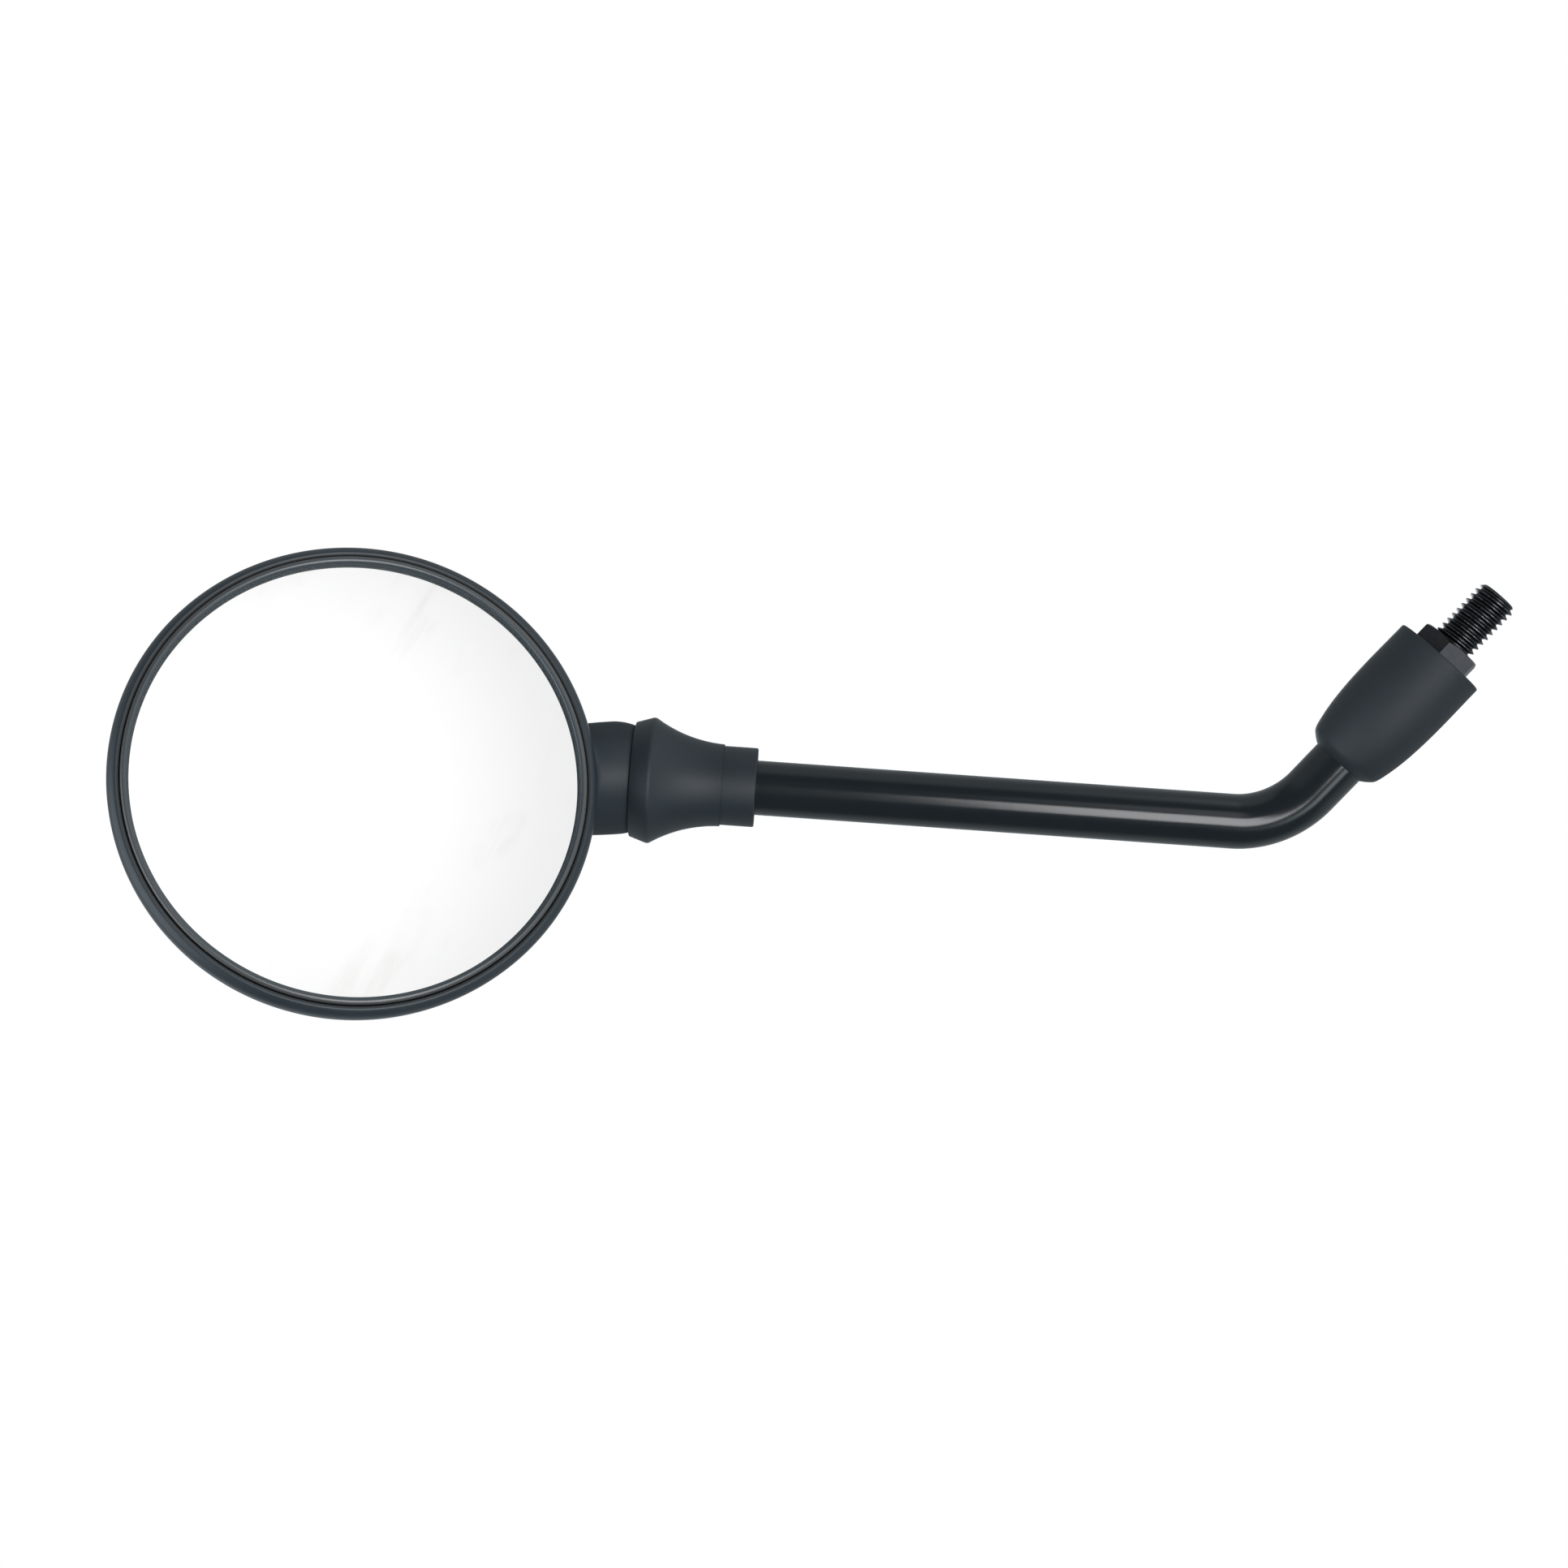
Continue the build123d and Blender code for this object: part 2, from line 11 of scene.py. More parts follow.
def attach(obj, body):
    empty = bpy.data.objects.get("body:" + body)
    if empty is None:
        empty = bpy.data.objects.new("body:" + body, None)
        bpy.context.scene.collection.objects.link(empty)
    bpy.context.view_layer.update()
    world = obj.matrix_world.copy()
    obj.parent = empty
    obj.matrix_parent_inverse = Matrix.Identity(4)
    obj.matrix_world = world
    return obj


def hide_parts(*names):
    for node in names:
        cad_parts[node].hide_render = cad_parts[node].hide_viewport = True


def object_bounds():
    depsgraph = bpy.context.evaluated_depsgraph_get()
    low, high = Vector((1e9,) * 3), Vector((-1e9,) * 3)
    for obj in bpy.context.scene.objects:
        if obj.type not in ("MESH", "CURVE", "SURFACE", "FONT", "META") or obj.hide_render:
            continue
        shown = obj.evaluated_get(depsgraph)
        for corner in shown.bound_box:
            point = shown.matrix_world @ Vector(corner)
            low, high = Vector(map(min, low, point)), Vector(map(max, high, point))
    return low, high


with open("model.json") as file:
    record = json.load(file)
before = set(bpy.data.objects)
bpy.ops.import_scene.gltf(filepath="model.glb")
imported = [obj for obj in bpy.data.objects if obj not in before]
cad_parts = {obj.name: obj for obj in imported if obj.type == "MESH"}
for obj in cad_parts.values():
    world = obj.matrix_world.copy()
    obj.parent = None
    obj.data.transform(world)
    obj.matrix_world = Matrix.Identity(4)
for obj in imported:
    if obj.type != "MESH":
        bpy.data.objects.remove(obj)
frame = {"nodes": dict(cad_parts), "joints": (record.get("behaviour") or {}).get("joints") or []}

cadLow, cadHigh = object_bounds()  # the solids' box, before any piece is added
mm = 0.001
nodes = frame["nodes"]
joints = {joint["name"]: joint for joint in frame["joints"]}
print("frame loaded:", len(nodes), "nodes")


# Wires: one socket of a node tree, and the operators that add nodes behind it
class Wire:
    def __init__(self, tree, socket=None):
        self.tree = tree
        self.socket = socket

    def add(self, kind, settings=None, inputs=None, out=0):
        node = self.tree.nodes.new(kind)
        for key, value in (settings or {}).items():
            setattr(node, key, value)
        for key, value in (inputs or {}).items():
            if isinstance(value, Wire):
                self.tree.links.new(value.socket, node.inputs[key])
            else:
                node.inputs[key].default_value = value
        return Wire(self.tree, node.outputs[out] if node.outputs else None)

    def other(self, name):  # another output of the same node
        return Wire(self.tree, self.socket.node.outputs[name])

    def calc(self, operation, first, second=0.0):
        return self.add("ShaderNodeMath", {"operation": operation}, {0: first, 1: second})

    def __add__(self, other):
        return self.calc("ADD", self, other)

    def __radd__(self, other):
        return self.calc("ADD", other, self)

    def __sub__(self, other):
        return self.calc("SUBTRACT", self, other)

    def __rsub__(self, other):
        return self.calc("SUBTRACT", other, self)

    def __mul__(self, other):
        return self.calc("MULTIPLY", self, other)

    def __truediv__(self, other):
        return self.calc("DIVIDE", self, other)

    def least(self, other):
        return self.calc("MINIMUM", self, other)

    def most(self, other):
        return self.calc("MAXIMUM", self, other)

    def ramp(self, low, high):  # smooth step from 0 at low to 1 at high
        settings = {"interpolation_type": "SMOOTHSTEP"}
        return self.add("ShaderNodeMapRange", settings, {0: self, 1: low, 2: high, 3: 0.0, 4: 1.0})

    def rampMm(self, low, high):
        return self.ramp(low * mm, high * mm)

    def vector(self, operation, other, out="Vector"):
        value = other if isinstance(other, Wire) else tuple(other)
        return self.add("ShaderNodeVectorMath", {"operation": operation}, {0: self, 1: value}, out)

    def dot(self, direction):
        return self.vector("DOT_PRODUCT", direction, "Value")

    def fromAxis(self, origin, direction):  # distance of a point from a line
        across = self.vector("SUBTRACT", origin).vector("CROSS_PRODUCT", direction)
        return across.add("ShaderNodeVectorMath", {"operation": "LENGTH"}, {0: across}, "Value")

    def noise(self, grain, detail=2.0, rough=0.5):  # grain is the size of one blotch in mm
        inputs = {"Vector": self, "Scale": 1.0 / (grain * mm), "Detail": detail, "Roughness": rough}
        return self.add("ShaderNodeTexNoise", None, inputs)

    def blend(self, first, second):  # colours, mixed by this value
        return self.add("ShaderNodeMix", {"data_type": "RGBA"}, {0: self, 6: first, 7: second}, 2)


# Places of the pieces, read from the joints of the frame
headPose = {"roll": 27.6, "reach": 60.8, "rimOffset": 16.5}  # degrees and mm, from the ball

ball = Vector(joints["head_pan"]["pos_m"])
panAxis = Vector(joints["head_pan"]["axis"]).normalized()
leanAxis = Vector(joints["head_lean"]["axis"]).normalized()
neckAxis = Vector(joints["head_roll"]["axis"]).normalized()
stemAxis = Vector((0, 1, 0)).cross(panAxis).normalized()
rollAngle = math.radians(headPose["roll"])
headNormal = leanAxis * math.cos(rollAngle) - leanAxis.cross(neckAxis) * math.sin(rollAngle)
rimCentre = ball + neckAxis * headPose["reach"] * mm + headNormal * headPose["rimOffset"] * mm


def placeAlong(origin, along, sideways):  # local z runs along, local x sideways
    axisZ = along.normalized()
    axisY = axisZ.cross(sideways).normalized()
    axisX = axisY.cross(axisZ)
    place = Matrix((axisX, axisY, axisZ)).transposed().to_4x4()
    place.translation = origin
    return place


basePlace = Matrix.Identity(4)
bootPlace = placeAlong(ball, -stemAxis, panAxis)
headPlace = placeAlong(rimCentre, headNormal, neckAxis)
neckPlace = placeAlong(ball, neckAxis, headNormal)


# Outlines: points of a profile as (radius, height) in mm
def slopeAt(spots, times, moment):  # of the low curve through all these points
    return np.polyfit(times - moment, spots, len(spots) - 1)[-2]


def smoothLine(points, startWay=None, endWay=None, spacing=0.8):  # one smooth curve through a few points
    spots = np.array(points, float)
    steps = np.linalg.norm(np.diff(spots, axis=0), axis=1)
    times = np.concatenate([[0.0], np.cumsum(steps)])
    size = len(spots)
    system = np.zeros((size, size))
    right = np.zeros((size, 2))
    for end, way, near in ((0, startWay, slice(0, 4)), (-1, endWay, slice(-4, None))):
        system[end, end] = 1.0
        if way is None:
            right[end] = slopeAt(spots[near], times[near], times[end])
        else:
            speed = np.abs(slopeAt(spots[:3], times[:3], times[end])).sum()
            right[end] = np.array(way, float) / np.abs(way).sum() * speed
    for i in range(1, size - 1):
        before, after = steps[i - 1], steps[i]
        system[i, i - 1 : i + 2] = after, 2 * (before + after), before
        rise = after * (spots[i] - spots[i - 1]) / before + before * (spots[i + 1] - spots[i]) / after
        right[i] = 3 * rise
    slopes = np.linalg.solve(system, right)
    line = []
    for i, step in enumerate(steps):
        for t in np.linspace(0, 1, max(4, round(step / spacing)), endpoint=False):
            start = (1 + 2 * t) * (1 - t) ** 2 * spots[i] + t * (1 - t) ** 2 * step * slopes[i]
            end = t * t * (3 - 2 * t) * spots[i + 1] + t * t * (t - 1) * step * slopes[i + 1]
            line.append(tuple(start + end))
    line.append(tuple(spots[-1]))
    return line


def tangentArc(start, way, end, steps):  # an arc that leaves start along way; gives its points and last way
    first = np.array(start, float)
    ahead = np.array(way, float) / np.linalg.norm(way)
    chord = np.array(end, float) - first
    side = chord - (chord @ ahead) * ahead
    side /= np.linalg.norm(side)
    radius = (chord @ chord) / (2 * (chord @ side))
    sweep = 2 * math.atan2(chord @ side, chord @ ahead)
    line = []
    for turn in np.linspace(0, sweep, steps + 1)[1:]:
        line.append(tuple(first + radius * (math.sin(turn) * ahead + (1 - math.cos(turn)) * side)))
    return line, math.cos(sweep) * ahead + math.sin(sweep) * side


def slerp(first, last, steps):  # spokes that turn evenly from one to the other
    size = np.linalg.norm(first)
    sweep = math.acos(max(-1.0, min(1.0, float(first @ last) / size / size)))
    for t in np.linspace(0, 1, steps + 1):
        yield (math.sin((1 - t) * sweep) * first + math.sin(t * sweep) * last) / math.sin(sweep)


def roundCorner(before, corner, after, radius, steps=6):  # an arc in place of a sharp corner
    spot = np.array(corner, float)
    inWay = np.array(before, float) - spot
    outWay = np.array(after, float) - spot
    inWay /= np.linalg.norm(inWay)
    outWay /= np.linalg.norm(outWay)
    half = math.acos(max(-1.0, min(1.0, float(inWay @ outWay)))) / 2
    reach = radius / math.tan(half)
    middle = spot + (inWay + outWay) / np.linalg.norm(inWay + outWay) * radius / math.sin(half)
    first = spot + inWay * reach - middle
    last = spot + outWay * reach - middle
    return [tuple(middle + spoke) for spoke in slerp(first, last, steps)]


def fillFaces(mesh, rings):  # quads between rings of points, where a ring may be one point
    for ring, after in zip(rings, rings[1:]):
        count = max(len(ring), len(after))
        if count == 1:
            continue
        for j in range(count):
            k = (j + 1) % count
            corners = [ring[j % len(ring)], ring[k % len(ring)], after[k % len(after)], after[j % len(after)]]
            mesh.faces.new(list(dict.fromkeys(corners)))


def ringOf(mesh, place, radius, height, turns):
    if radius < 1e-6:
        return [mesh.verts.new(place @ Vector((0, 0, height * mm)))]
    ring = []
    for angle in np.linspace(0, 2 * math.pi, turns, endpoint=False):
        spot = Vector((radius * math.cos(angle), radius * math.sin(angle), height)) * mm
        ring.append(mesh.verts.new(place @ spot))
    return ring


def lathe(profile, place, turns):  # an outline turned about the local z axis, closed on the axis or on itself
    mesh = bmesh.new()
    rings = [ringOf(mesh, place, radius, height, turns) for radius, height in profile]
    if len(rings[0]) > 1 and len(rings[-1]) > 1:
        rings.append(rings[0])
    fillFaces(mesh, rings)
    bmesh.ops.recalc_face_normals(mesh, faces=mesh.faces)
    return mesh


def box(place, low, high):
    mesh = bmesh.new()
    bmesh.ops.create_cube(mesh, size=1.0)
    for vertex in mesh.verts:
        spot = [(a + b) / 2 + c * (b - a) for a, b, c in zip(low, high, vertex.co)]
        vertex.co = place @ (Vector(spot) * mm)
    return mesh


def asMesh(name, source):
    mesh = bpy.data.meshes.new(name)
    source.to_mesh(mesh)
    source.free()
    return mesh


def carve(mesh, tools, operation):  # joins or cuts a closed mesh with others
    for tool in tools:
        bases = []
        for part in (mesh, tool):
            holder = bpy.data.objects.new("carve", part)
            bpy.context.scene.collection.objects.link(holder)
            bases.append(holder)
        modifier = bases[0].modifiers.new("carve", "BOOLEAN")
        modifier.operation = operation
        modifier.solver = "EXACT"
        modifier.object = bases[1]
        graph = bpy.context.evaluated_depsgraph_get()
        mesh = bpy.data.meshes.new_from_object(bases[0].evaluated_get(graph))
        for holder in bases:
            bpy.data.objects.remove(holder)
    return mesh


def makePiece(name, mesh, material, body, replaced, sharp=35.0):
    mesh.name = name
    mesh.polygons.foreach_set("use_smooth", [True] * len(mesh.polygons))
    mesh.set_sharp_from_angle(angle=math.radians(sharp))
    mesh.materials.clear()
    mesh.materials.append(material)
    mesh.polygons.foreach_set("material_index", [0] * len(mesh.polygons))
    piece = bpy.data.objects.new(name, mesh)
    bpy.context.scene.collection.objects.link(piece)
    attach(piece, body)
    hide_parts(*replaced)
    print("piece", name, len(mesh.polygons), "faces")
    return piece


# Materials: each is a small tree on the object's own coordinates, in metres
def startMaterial(name):
    material = bpy.data.materials.new(name)
    material.use_nodes = True
    material.node_tree.nodes.clear()
    here = Wire(material.node_tree)
    return material, here, here.add("ShaderNodeTexCoord", None, None, "Object")


def endMaterial(here, values, height, depth):  # relief of this depth in mm
    bump = {"Strength": 1.0, "Distance": depth * mm, "Height": height}
    inputs = dict(values)
    inputs["Normal"] = here.add("ShaderNodeBump", None, bump)
    skin = here.add("ShaderNodeBsdfPrincipled", None, inputs)
    here.add("ShaderNodeOutputMaterial", None, {"Surface": skin})


def makePaint():
    look = {"dark": (0.0055, 0.0103, 0.0145, 1), "pale": (0.0090, 0.0155, 0.0205, 1), "cloud": 16.0}
    look.update({"gloss": 0.16, "cloudRough": 0.04, "dustRough": 0.06})
    look.update({"peel": 1.5, "peelDepth": 0.004, "dust": 0.45, "dustEdge": (0.72, 0.86)})
    material, here, spots = startMaterial("glossBlackPaint")
    cloud = spots.noise(look["cloud"], 3.0)
    dust = spots.noise(look["dust"], 2.0).ramp(*look["dustEdge"])
    colour = cloud.blend(look["dark"], look["pale"])
    rough = look["gloss"] + cloud * look["cloudRough"] + dust * look["dustRough"]
    values = {"Base Color": colour, "Roughness": rough, "IOR": 1.5}
    endMaterial(here, values, spots.noise(look["peel"], 1.0), look["peelDepth"])
    return material


def makeRubber(name, rough, shade):  # shade scales both tones; below 1 it is painted shade
    look = {"dark": (0.0095, 0.0165, 0.023, 1), "pale": (0.016, 0.0255, 0.0345, 1), "cloud": 8.0}
    look.update({"grain": 0.18, "grainShare": 0.6, "ripple": 2.4, "depth": 0.035})
    look.update({"cloudRough": 0.10, "grainRough": 0.08})
    material, here, spots = startMaterial(name)
    cloud = spots.noise(look["cloud"], 4.0, 0.6)
    grain = spots.noise(look["grain"], 2.0)
    ripple = spots.noise(look["ripple"], 3.0)
    tones = [tuple(level * shade for level in look[tone][:3]) + (1,) for tone in ("dark", "pale")]
    colour = cloud.blend(*tones)
    rough = rough + cloud * look["cloudRough"] + grain * look["grainRough"]
    values = {"Base Color": colour, "Roughness": rough, "IOR": 1.5}
    relief = grain * look["grainShare"] + ripple * (1 - look["grainShare"])
    endMaterial(here, values, relief, look["depth"])
    return material


def makeHousingPlastic(name, texture):  # texture 1 for the grained shell, 0 for the smooth bezel
    look = {"dark": (0.0135, 0.0215, 0.029, 1), "pale": (0.0215, 0.033, 0.043, 1), "cloud": 13.0}
    # the rim's and the bezel's tones are paler than the shell's: a painted highlight
    look.update({"rimHighlightDark": (0.019, 0.029, 0.037, 1), "rimHighlightPale": (0.028, 0.041, 0.052, 1)})
    look.update({"bezelHighlightDark": (0.032, 0.045, 0.055, 1), "bezelHighlightPale": (0.044, 0.060, 0.072, 1)})
    look.update({"grooveDustAndLight": (0.075, 0.078, 0.080, 1), "grooveDustAndLightShare": 0.8})
    look.update({"grain": 0.30, "smoothGrain": 0.10, "depth": 0.035, "coat": 0.8, "coatRough": 0.28})
    look.update({"rimRough": 0.36, "backRough": 0.74, "wallRough": 0.35})
    look.update({"cloudRough": 0.06, "grainRough": 0.04})
    look.update({"grainEdge": (-6.0, -2.0), "rimEdge": (-5.0, -1.0), "grooveFloor": (-2.0, 0.0)})  # heights
    look.update({"wallEdge": (48.33, 48.55), "grooveIn": (49.0, 49.5), "grooveOut": (50.2, 50.9)})  # radii
    material, here, spots = startMaterial(name)
    height = spots.dot(headNormal) - rimCentre.dot(headNormal)
    radius = spots.fromAxis(rimCentre, headNormal)
    cloud = spots.noise(look["cloud"], 3.0)
    grain = spots.noise(look["grain"], 3.0)
    back = (1 - height.rampMm(*look["grainEdge"])) * texture  # the moulded grain stops below the rim
    rim = height.rampMm(*look["rimEdge"])  # painted highlight: the rim and the bezel take paler tones than the shell
    dark, pale = ("rimHighlightDark", "rimHighlightPale") if texture else ("bezelHighlightDark", "bezelHighlightPale")
    edge = cloud.blend(look[dark], look[pale])
    colour = rim.blend(cloud.blend(look["dark"], look["pale"]), edge)
    wall = (1 - radius.rampMm(*look["wallEdge"])) * (1 - texture)
    rough = look["rimRough"] + back * (look["backRough"] - look["rimRough"])
    rough = rough + cloud * look["cloudRough"] + grain * look["grainRough"]
    rough = rough + wall * look["wallRough"]  # the bezel's inner wall is dull
    # pale dust in the groove between rim and bezel, and painted light that lifts the groove's shade
    groove = radius.rampMm(*look["grooveIn"]) * (1 - radius.rampMm(*look["grooveOut"]))
    groove = groove * height.rampMm(*look["grooveFloor"])
    colour = (groove * look["grooveDustAndLightShare"]).blend(colour, look["grooveDustAndLight"])
    coat = (1 - wall) * (1 - texture) * look["coat"]
    values = {"Base Color": colour, "Roughness": rough, "IOR": 1.5}
    values.update({"Coat Weight": coat, "Coat Roughness": look["coatRough"]})
    relief = grain * (look["smoothGrain"] + back * (1 - look["smoothGrain"]))
    endMaterial(here, values, relief, look["depth"])
    return material


def makePlatedSteel():
    look = {"dark": (0.026, 0.027, 0.030, 1), "pale": (0.062, 0.064, 0.068, 1), "metal": 0.95}
    look.update({"worn": (0.28, 0.28, 0.285, 1), "wornShare": 0.55, "wornEdge": (0.40, 0.70)})
    look.update({"cloud": 1.6, "fine": 0.25, "crest": (4.85, 4.99), "seat": (-0.3, 0.0), "depth": 0.006})
    look.update({"rough": 0.28, "cloudRough": 0.10, "fineRough": 0.06, "wornRough": 0.10})
    material, here, spots = startMaterial("blackPlatedSteel")
    radius = spots.fromAxis((0, 0, 0), (0, 0, 1))
    onStud = 1 - spots.dot((0, 0, 1)).rampMm(*look["seat"])
    cloud = spots.noise(look["cloud"], 4.0, 0.6)
    fine = spots.noise(look["fine"], 2.0)
    worn = radius.rampMm(*look["crest"]) * onStud * cloud.ramp(*look["wornEdge"]) * look["wornShare"]
    colour = worn.blend(cloud.blend(look["dark"], look["pale"]), look["worn"])
    rough = look["rough"] + cloud * look["cloudRough"] + fine * look["fineRough"] - worn * look["wornRough"]
    values = {"Base Color": colour, "Roughness": rough, "Metallic": look["metal"]}
    endMaterial(here, values, cloud * 0.5 + fine * 0.5, look["depth"])
    return material


def makeMirror():
    look = {"clear": (0.955, 0.962, 0.957, 1), "smear": (0.86, 0.87, 0.85, 1)}
    look.update({"stroke": 7.0, "strokeEdge": (0.50, 0.78), "strokeWay": (0.55, 0.83, 0), "stretch": 0.82})
    look.update({"patch": 16.0, "patchEdge": (0.42, 0.62), "dust": 0.35, "dustEdge": (0.74, 0.82)})
    look.update({"smearShare": 0.8, "dustShare": 0.2, "rough": 0.008, "smearRough": 0.03, "dustRough": 0.10})
    look.update({"ripple": 26.0, "depth": 0.0012})
    material, here, spots = startMaterial("convexMirror")
    streakWay = (headPlace.to_3x3() @ Vector(look["strokeWay"])).normalized()  # wiping strokes run one way
    stroke = spots.dot(streakWay) * look["stretch"]
    shift = here.add("ShaderNodeCombineXYZ", None, {axis: stroke * streakWay[axis] for axis in range(3)})
    wiped = spots.vector("SUBTRACT", shift)
    patches = spots.noise(look["patch"], 2.0).ramp(*look["patchEdge"])
    smear = wiped.noise(look["stroke"], 4.0, 0.55).ramp(*look["strokeEdge"]) * patches
    dust = spots.noise(look["dust"], 1.0).ramp(*look["dustEdge"])
    share = smear * look["smearShare"] + dust * look["dustShare"]
    colour = share.blend(look["clear"], look["smear"])
    rough = look["rough"] + smear * look["smearRough"] + dust * look["dustRough"]
    values = {"Base Color": colour, "Roughness": rough, "Metallic": 1.0}
    endMaterial(here, values, spots.noise(look["ripple"], 1.0), look["depth"])
    return material


def makeSteel(name, colour, rough, origin, direction):
    look = {"mark": 0.12, "cloud": 3.0, "darker": 0.72, "markRough": 0.12, "cloudRough": 0.05, "depth": 0.006}
    material, here, spots = startMaterial(name)
    along = spots.dot(direction) - Vector(origin).dot(direction)
    radius = spots.fromAxis(origin, direction)
    tool = here.add("ShaderNodeCombineXYZ", None, {0: along, 1: radius})  # turning marks follow the axis
    marks = tool.noise(look["mark"], 2.0)
    cloud = spots.noise(look["cloud"], 3.0)
    dark = tuple(level * look["darker"] for level in colour) + (1,)
    shade = cloud.blend(dark, colour + (1,))
    rough = rough + marks * look["markRough"] + cloud * look["cloudRough"]
    values = {"Base Color": shade, "Roughness": rough, "Metallic": 1.0}
    endMaterial(here, values, marks, look["depth"])
    return material


def makeAcetal():
    look = {"dark": (0.72, 0.70, 0.64, 1), "pale": (0.84, 0.82, 0.77, 1), "cloud": 4.0}
    look.update({"rough": 0.34, "cloudRough": 0.10, "grain": 0.3, "depth": 0.006})
    material, here, spots = startMaterial("naturalAcetal")
    cloud = spots.noise(look["cloud"], 3.0)
    shade = cloud.blend(look["dark"], look["pale"])
    values = {"Base Color": shade, "Roughness": look["rough"] + cloud * look["cloudRough"]}
    endMaterial(here, values, spots.noise(look["grain"], 2.0), look["depth"])
    return material


def makeFoam():
    look = {"dark": (0.018, 0.018, 0.020, 1), "pale": (0.07, 0.07, 0.075, 1), "cell": 0.6}
    look.update({"rough": 0.82, "cellRough": 0.12, "depth": 0.2})
    material, here, spots = startMaterial("blackFoam")
    cell = spots.noise(look["cell"], 3.0)
    shade = cell.blend(look["dark"], look["pale"])
    values = {"Base Color": shade, "Roughness": look["rough"] + cell * look["cellRough"]}
    endMaterial(here, values, cell, look["depth"])
    return material


paint = makePaint()
bootRubber = makeRubber("bootRubber", 0.44, 1.0)
# the cover's rubber is the boot's, darkened to 0.8: painted shade against the light of the left cards
shadedCoverRubber = makeRubber("shadedCoverRubber", 0.50, 0.8)
housingPlastic = makeHousingPlastic("housingPlastic", 1.0)
bezelPlastic = makeHousingPlastic("bezelPlastic", 0.0)
platedSteel = makePlatedSteel()
mirrorCoat = makeMirror()
rodSteel = makeSteel("rodSteel", (0.55, 0.55, 0.56), 0.28, (0, 0, 0), (0, 0, 1))
ballSteel = makeSteel("ballSteel", (0.60, 0.60, 0.61), 0.18, ball, stemAxis)
seatSteel = makeSteel("seatSteel", (0.52, 0.52, 0.53), 0.30, ball, neckAxis)
springSteel = makeSteel("springSteel", (0.24, 0.24, 0.26), 0.38, ball, neckAxis)
acetal = makeAcetal()
foam = makeFoam()
print("materials made")


# Geometry trees: a group with named inputs, run on an empty mesh and turned into a plain mesh
def startTree(name, sizes):
    tree = bpy.data.node_groups.new(name, "GeometryNodeTree")
    tree.interface.new_socket("Geometry", in_out="OUTPUT", socket_type="NodeSocketGeometry")
    names = {}
    for key, value in sizes.items():
        kind = "NodeSocketInt" if isinstance(value, int) else "NodeSocketFloat"
        names[key] = tree.interface.new_socket(key, in_out="INPUT", socket_type=kind).identifier
    entry = tree.nodes.new("NodeGroupInput")
    wires = {key: Wire(tree, entry.outputs[key]) for key in sizes}
    return tree, Wire(tree), wires, names


def endTree(tree, here, shape, material, names, sizes):
    solid = here.add("GeometryNodeRealizeInstances", None, {0: shape})
    dressed = here.add("GeometryNodeSetMaterial", None, {"Geometry": solid, "Material": material})
    here.add("NodeGroupOutput", None, {0: dressed})
    holder = bpy.data.objects.new(tree.name, bpy.data.meshes.new(tree.name))
    bpy.context.scene.collection.objects.link(holder)
    modifier = holder.modifiers.new(tree.name, "NODES")
    modifier.node_group = tree
    for key, identifier in names.items():
        modifier[identifier] = sizes[key]
    graph = bpy.context.evaluated_depsgraph_get()
    mesh = bpy.data.meshes.new_from_object(holder.evaluated_get(graph))
    holder.modifiers.remove(modifier)
    bpy.data.objects.remove(holder)
    return mesh


# Stem: a round tube that follows a foot, one bend and a long run
def buildStem():
    sizes = {"radius": 6.5, "foot": 22.9, "corner": 57.1, "bend": 22.0, "run": 143.35}
    sizes.update({"sides": 128, "bendSteps": 64})
    tree, here, put, names = startTree("stemSweep", sizes)
    line = here.add("GeometryNodeMeshLine", {"count_mode": "TOTAL"}, {"Count": 3})
    step = here.add("GeometryNodeInputIndex")
    reached = {"data_type": "INT", "operation": "GREATER_EQUAL"}
    atCorner = here.add("FunctionNodeCompare", reached, {2: step, 3: 1})
    atEnd = here.add("FunctionNodeCompare", reached, {2: step, 3: 2})
    height = put["foot"] + (put["corner"] - put["foot"]) * atCorner + put["run"] * stemAxis.z * atEnd
    across = put["run"] * stemAxis.x * atEnd
    spot = here.add("ShaderNodeCombineXYZ", None, {0: across * mm, 2: height * mm})
    moved = here.add("GeometryNodeSetPosition", None, {"Geometry": line, "Position": spot})
    path = here.add("GeometryNodeMeshToCurve", None, {0: moved})
    rounding = {"Curve": path, "Radius": put["bend"] * mm, "Count": put["bendSteps"]}
    bent = here.add("GeometryNodeFilletCurve", {"mode": "POLY"}, rounding)
    outline = {"Resolution": put["sides"], "Radius": put["radius"] * mm}
    ring = here.add("GeometryNodeCurvePrimitiveCircle", None, outline)
    swept = {"Curve": bent, "Profile Curve": ring, "Fill Caps": True}
    tube = here.add("GeometryNodeCurveToMesh", None, swept)
    mesh = endTree(tree, here, tube, paint, names, sizes)
    return makePiece("stem", mesh, paint, "stem", ["stem_tube"])


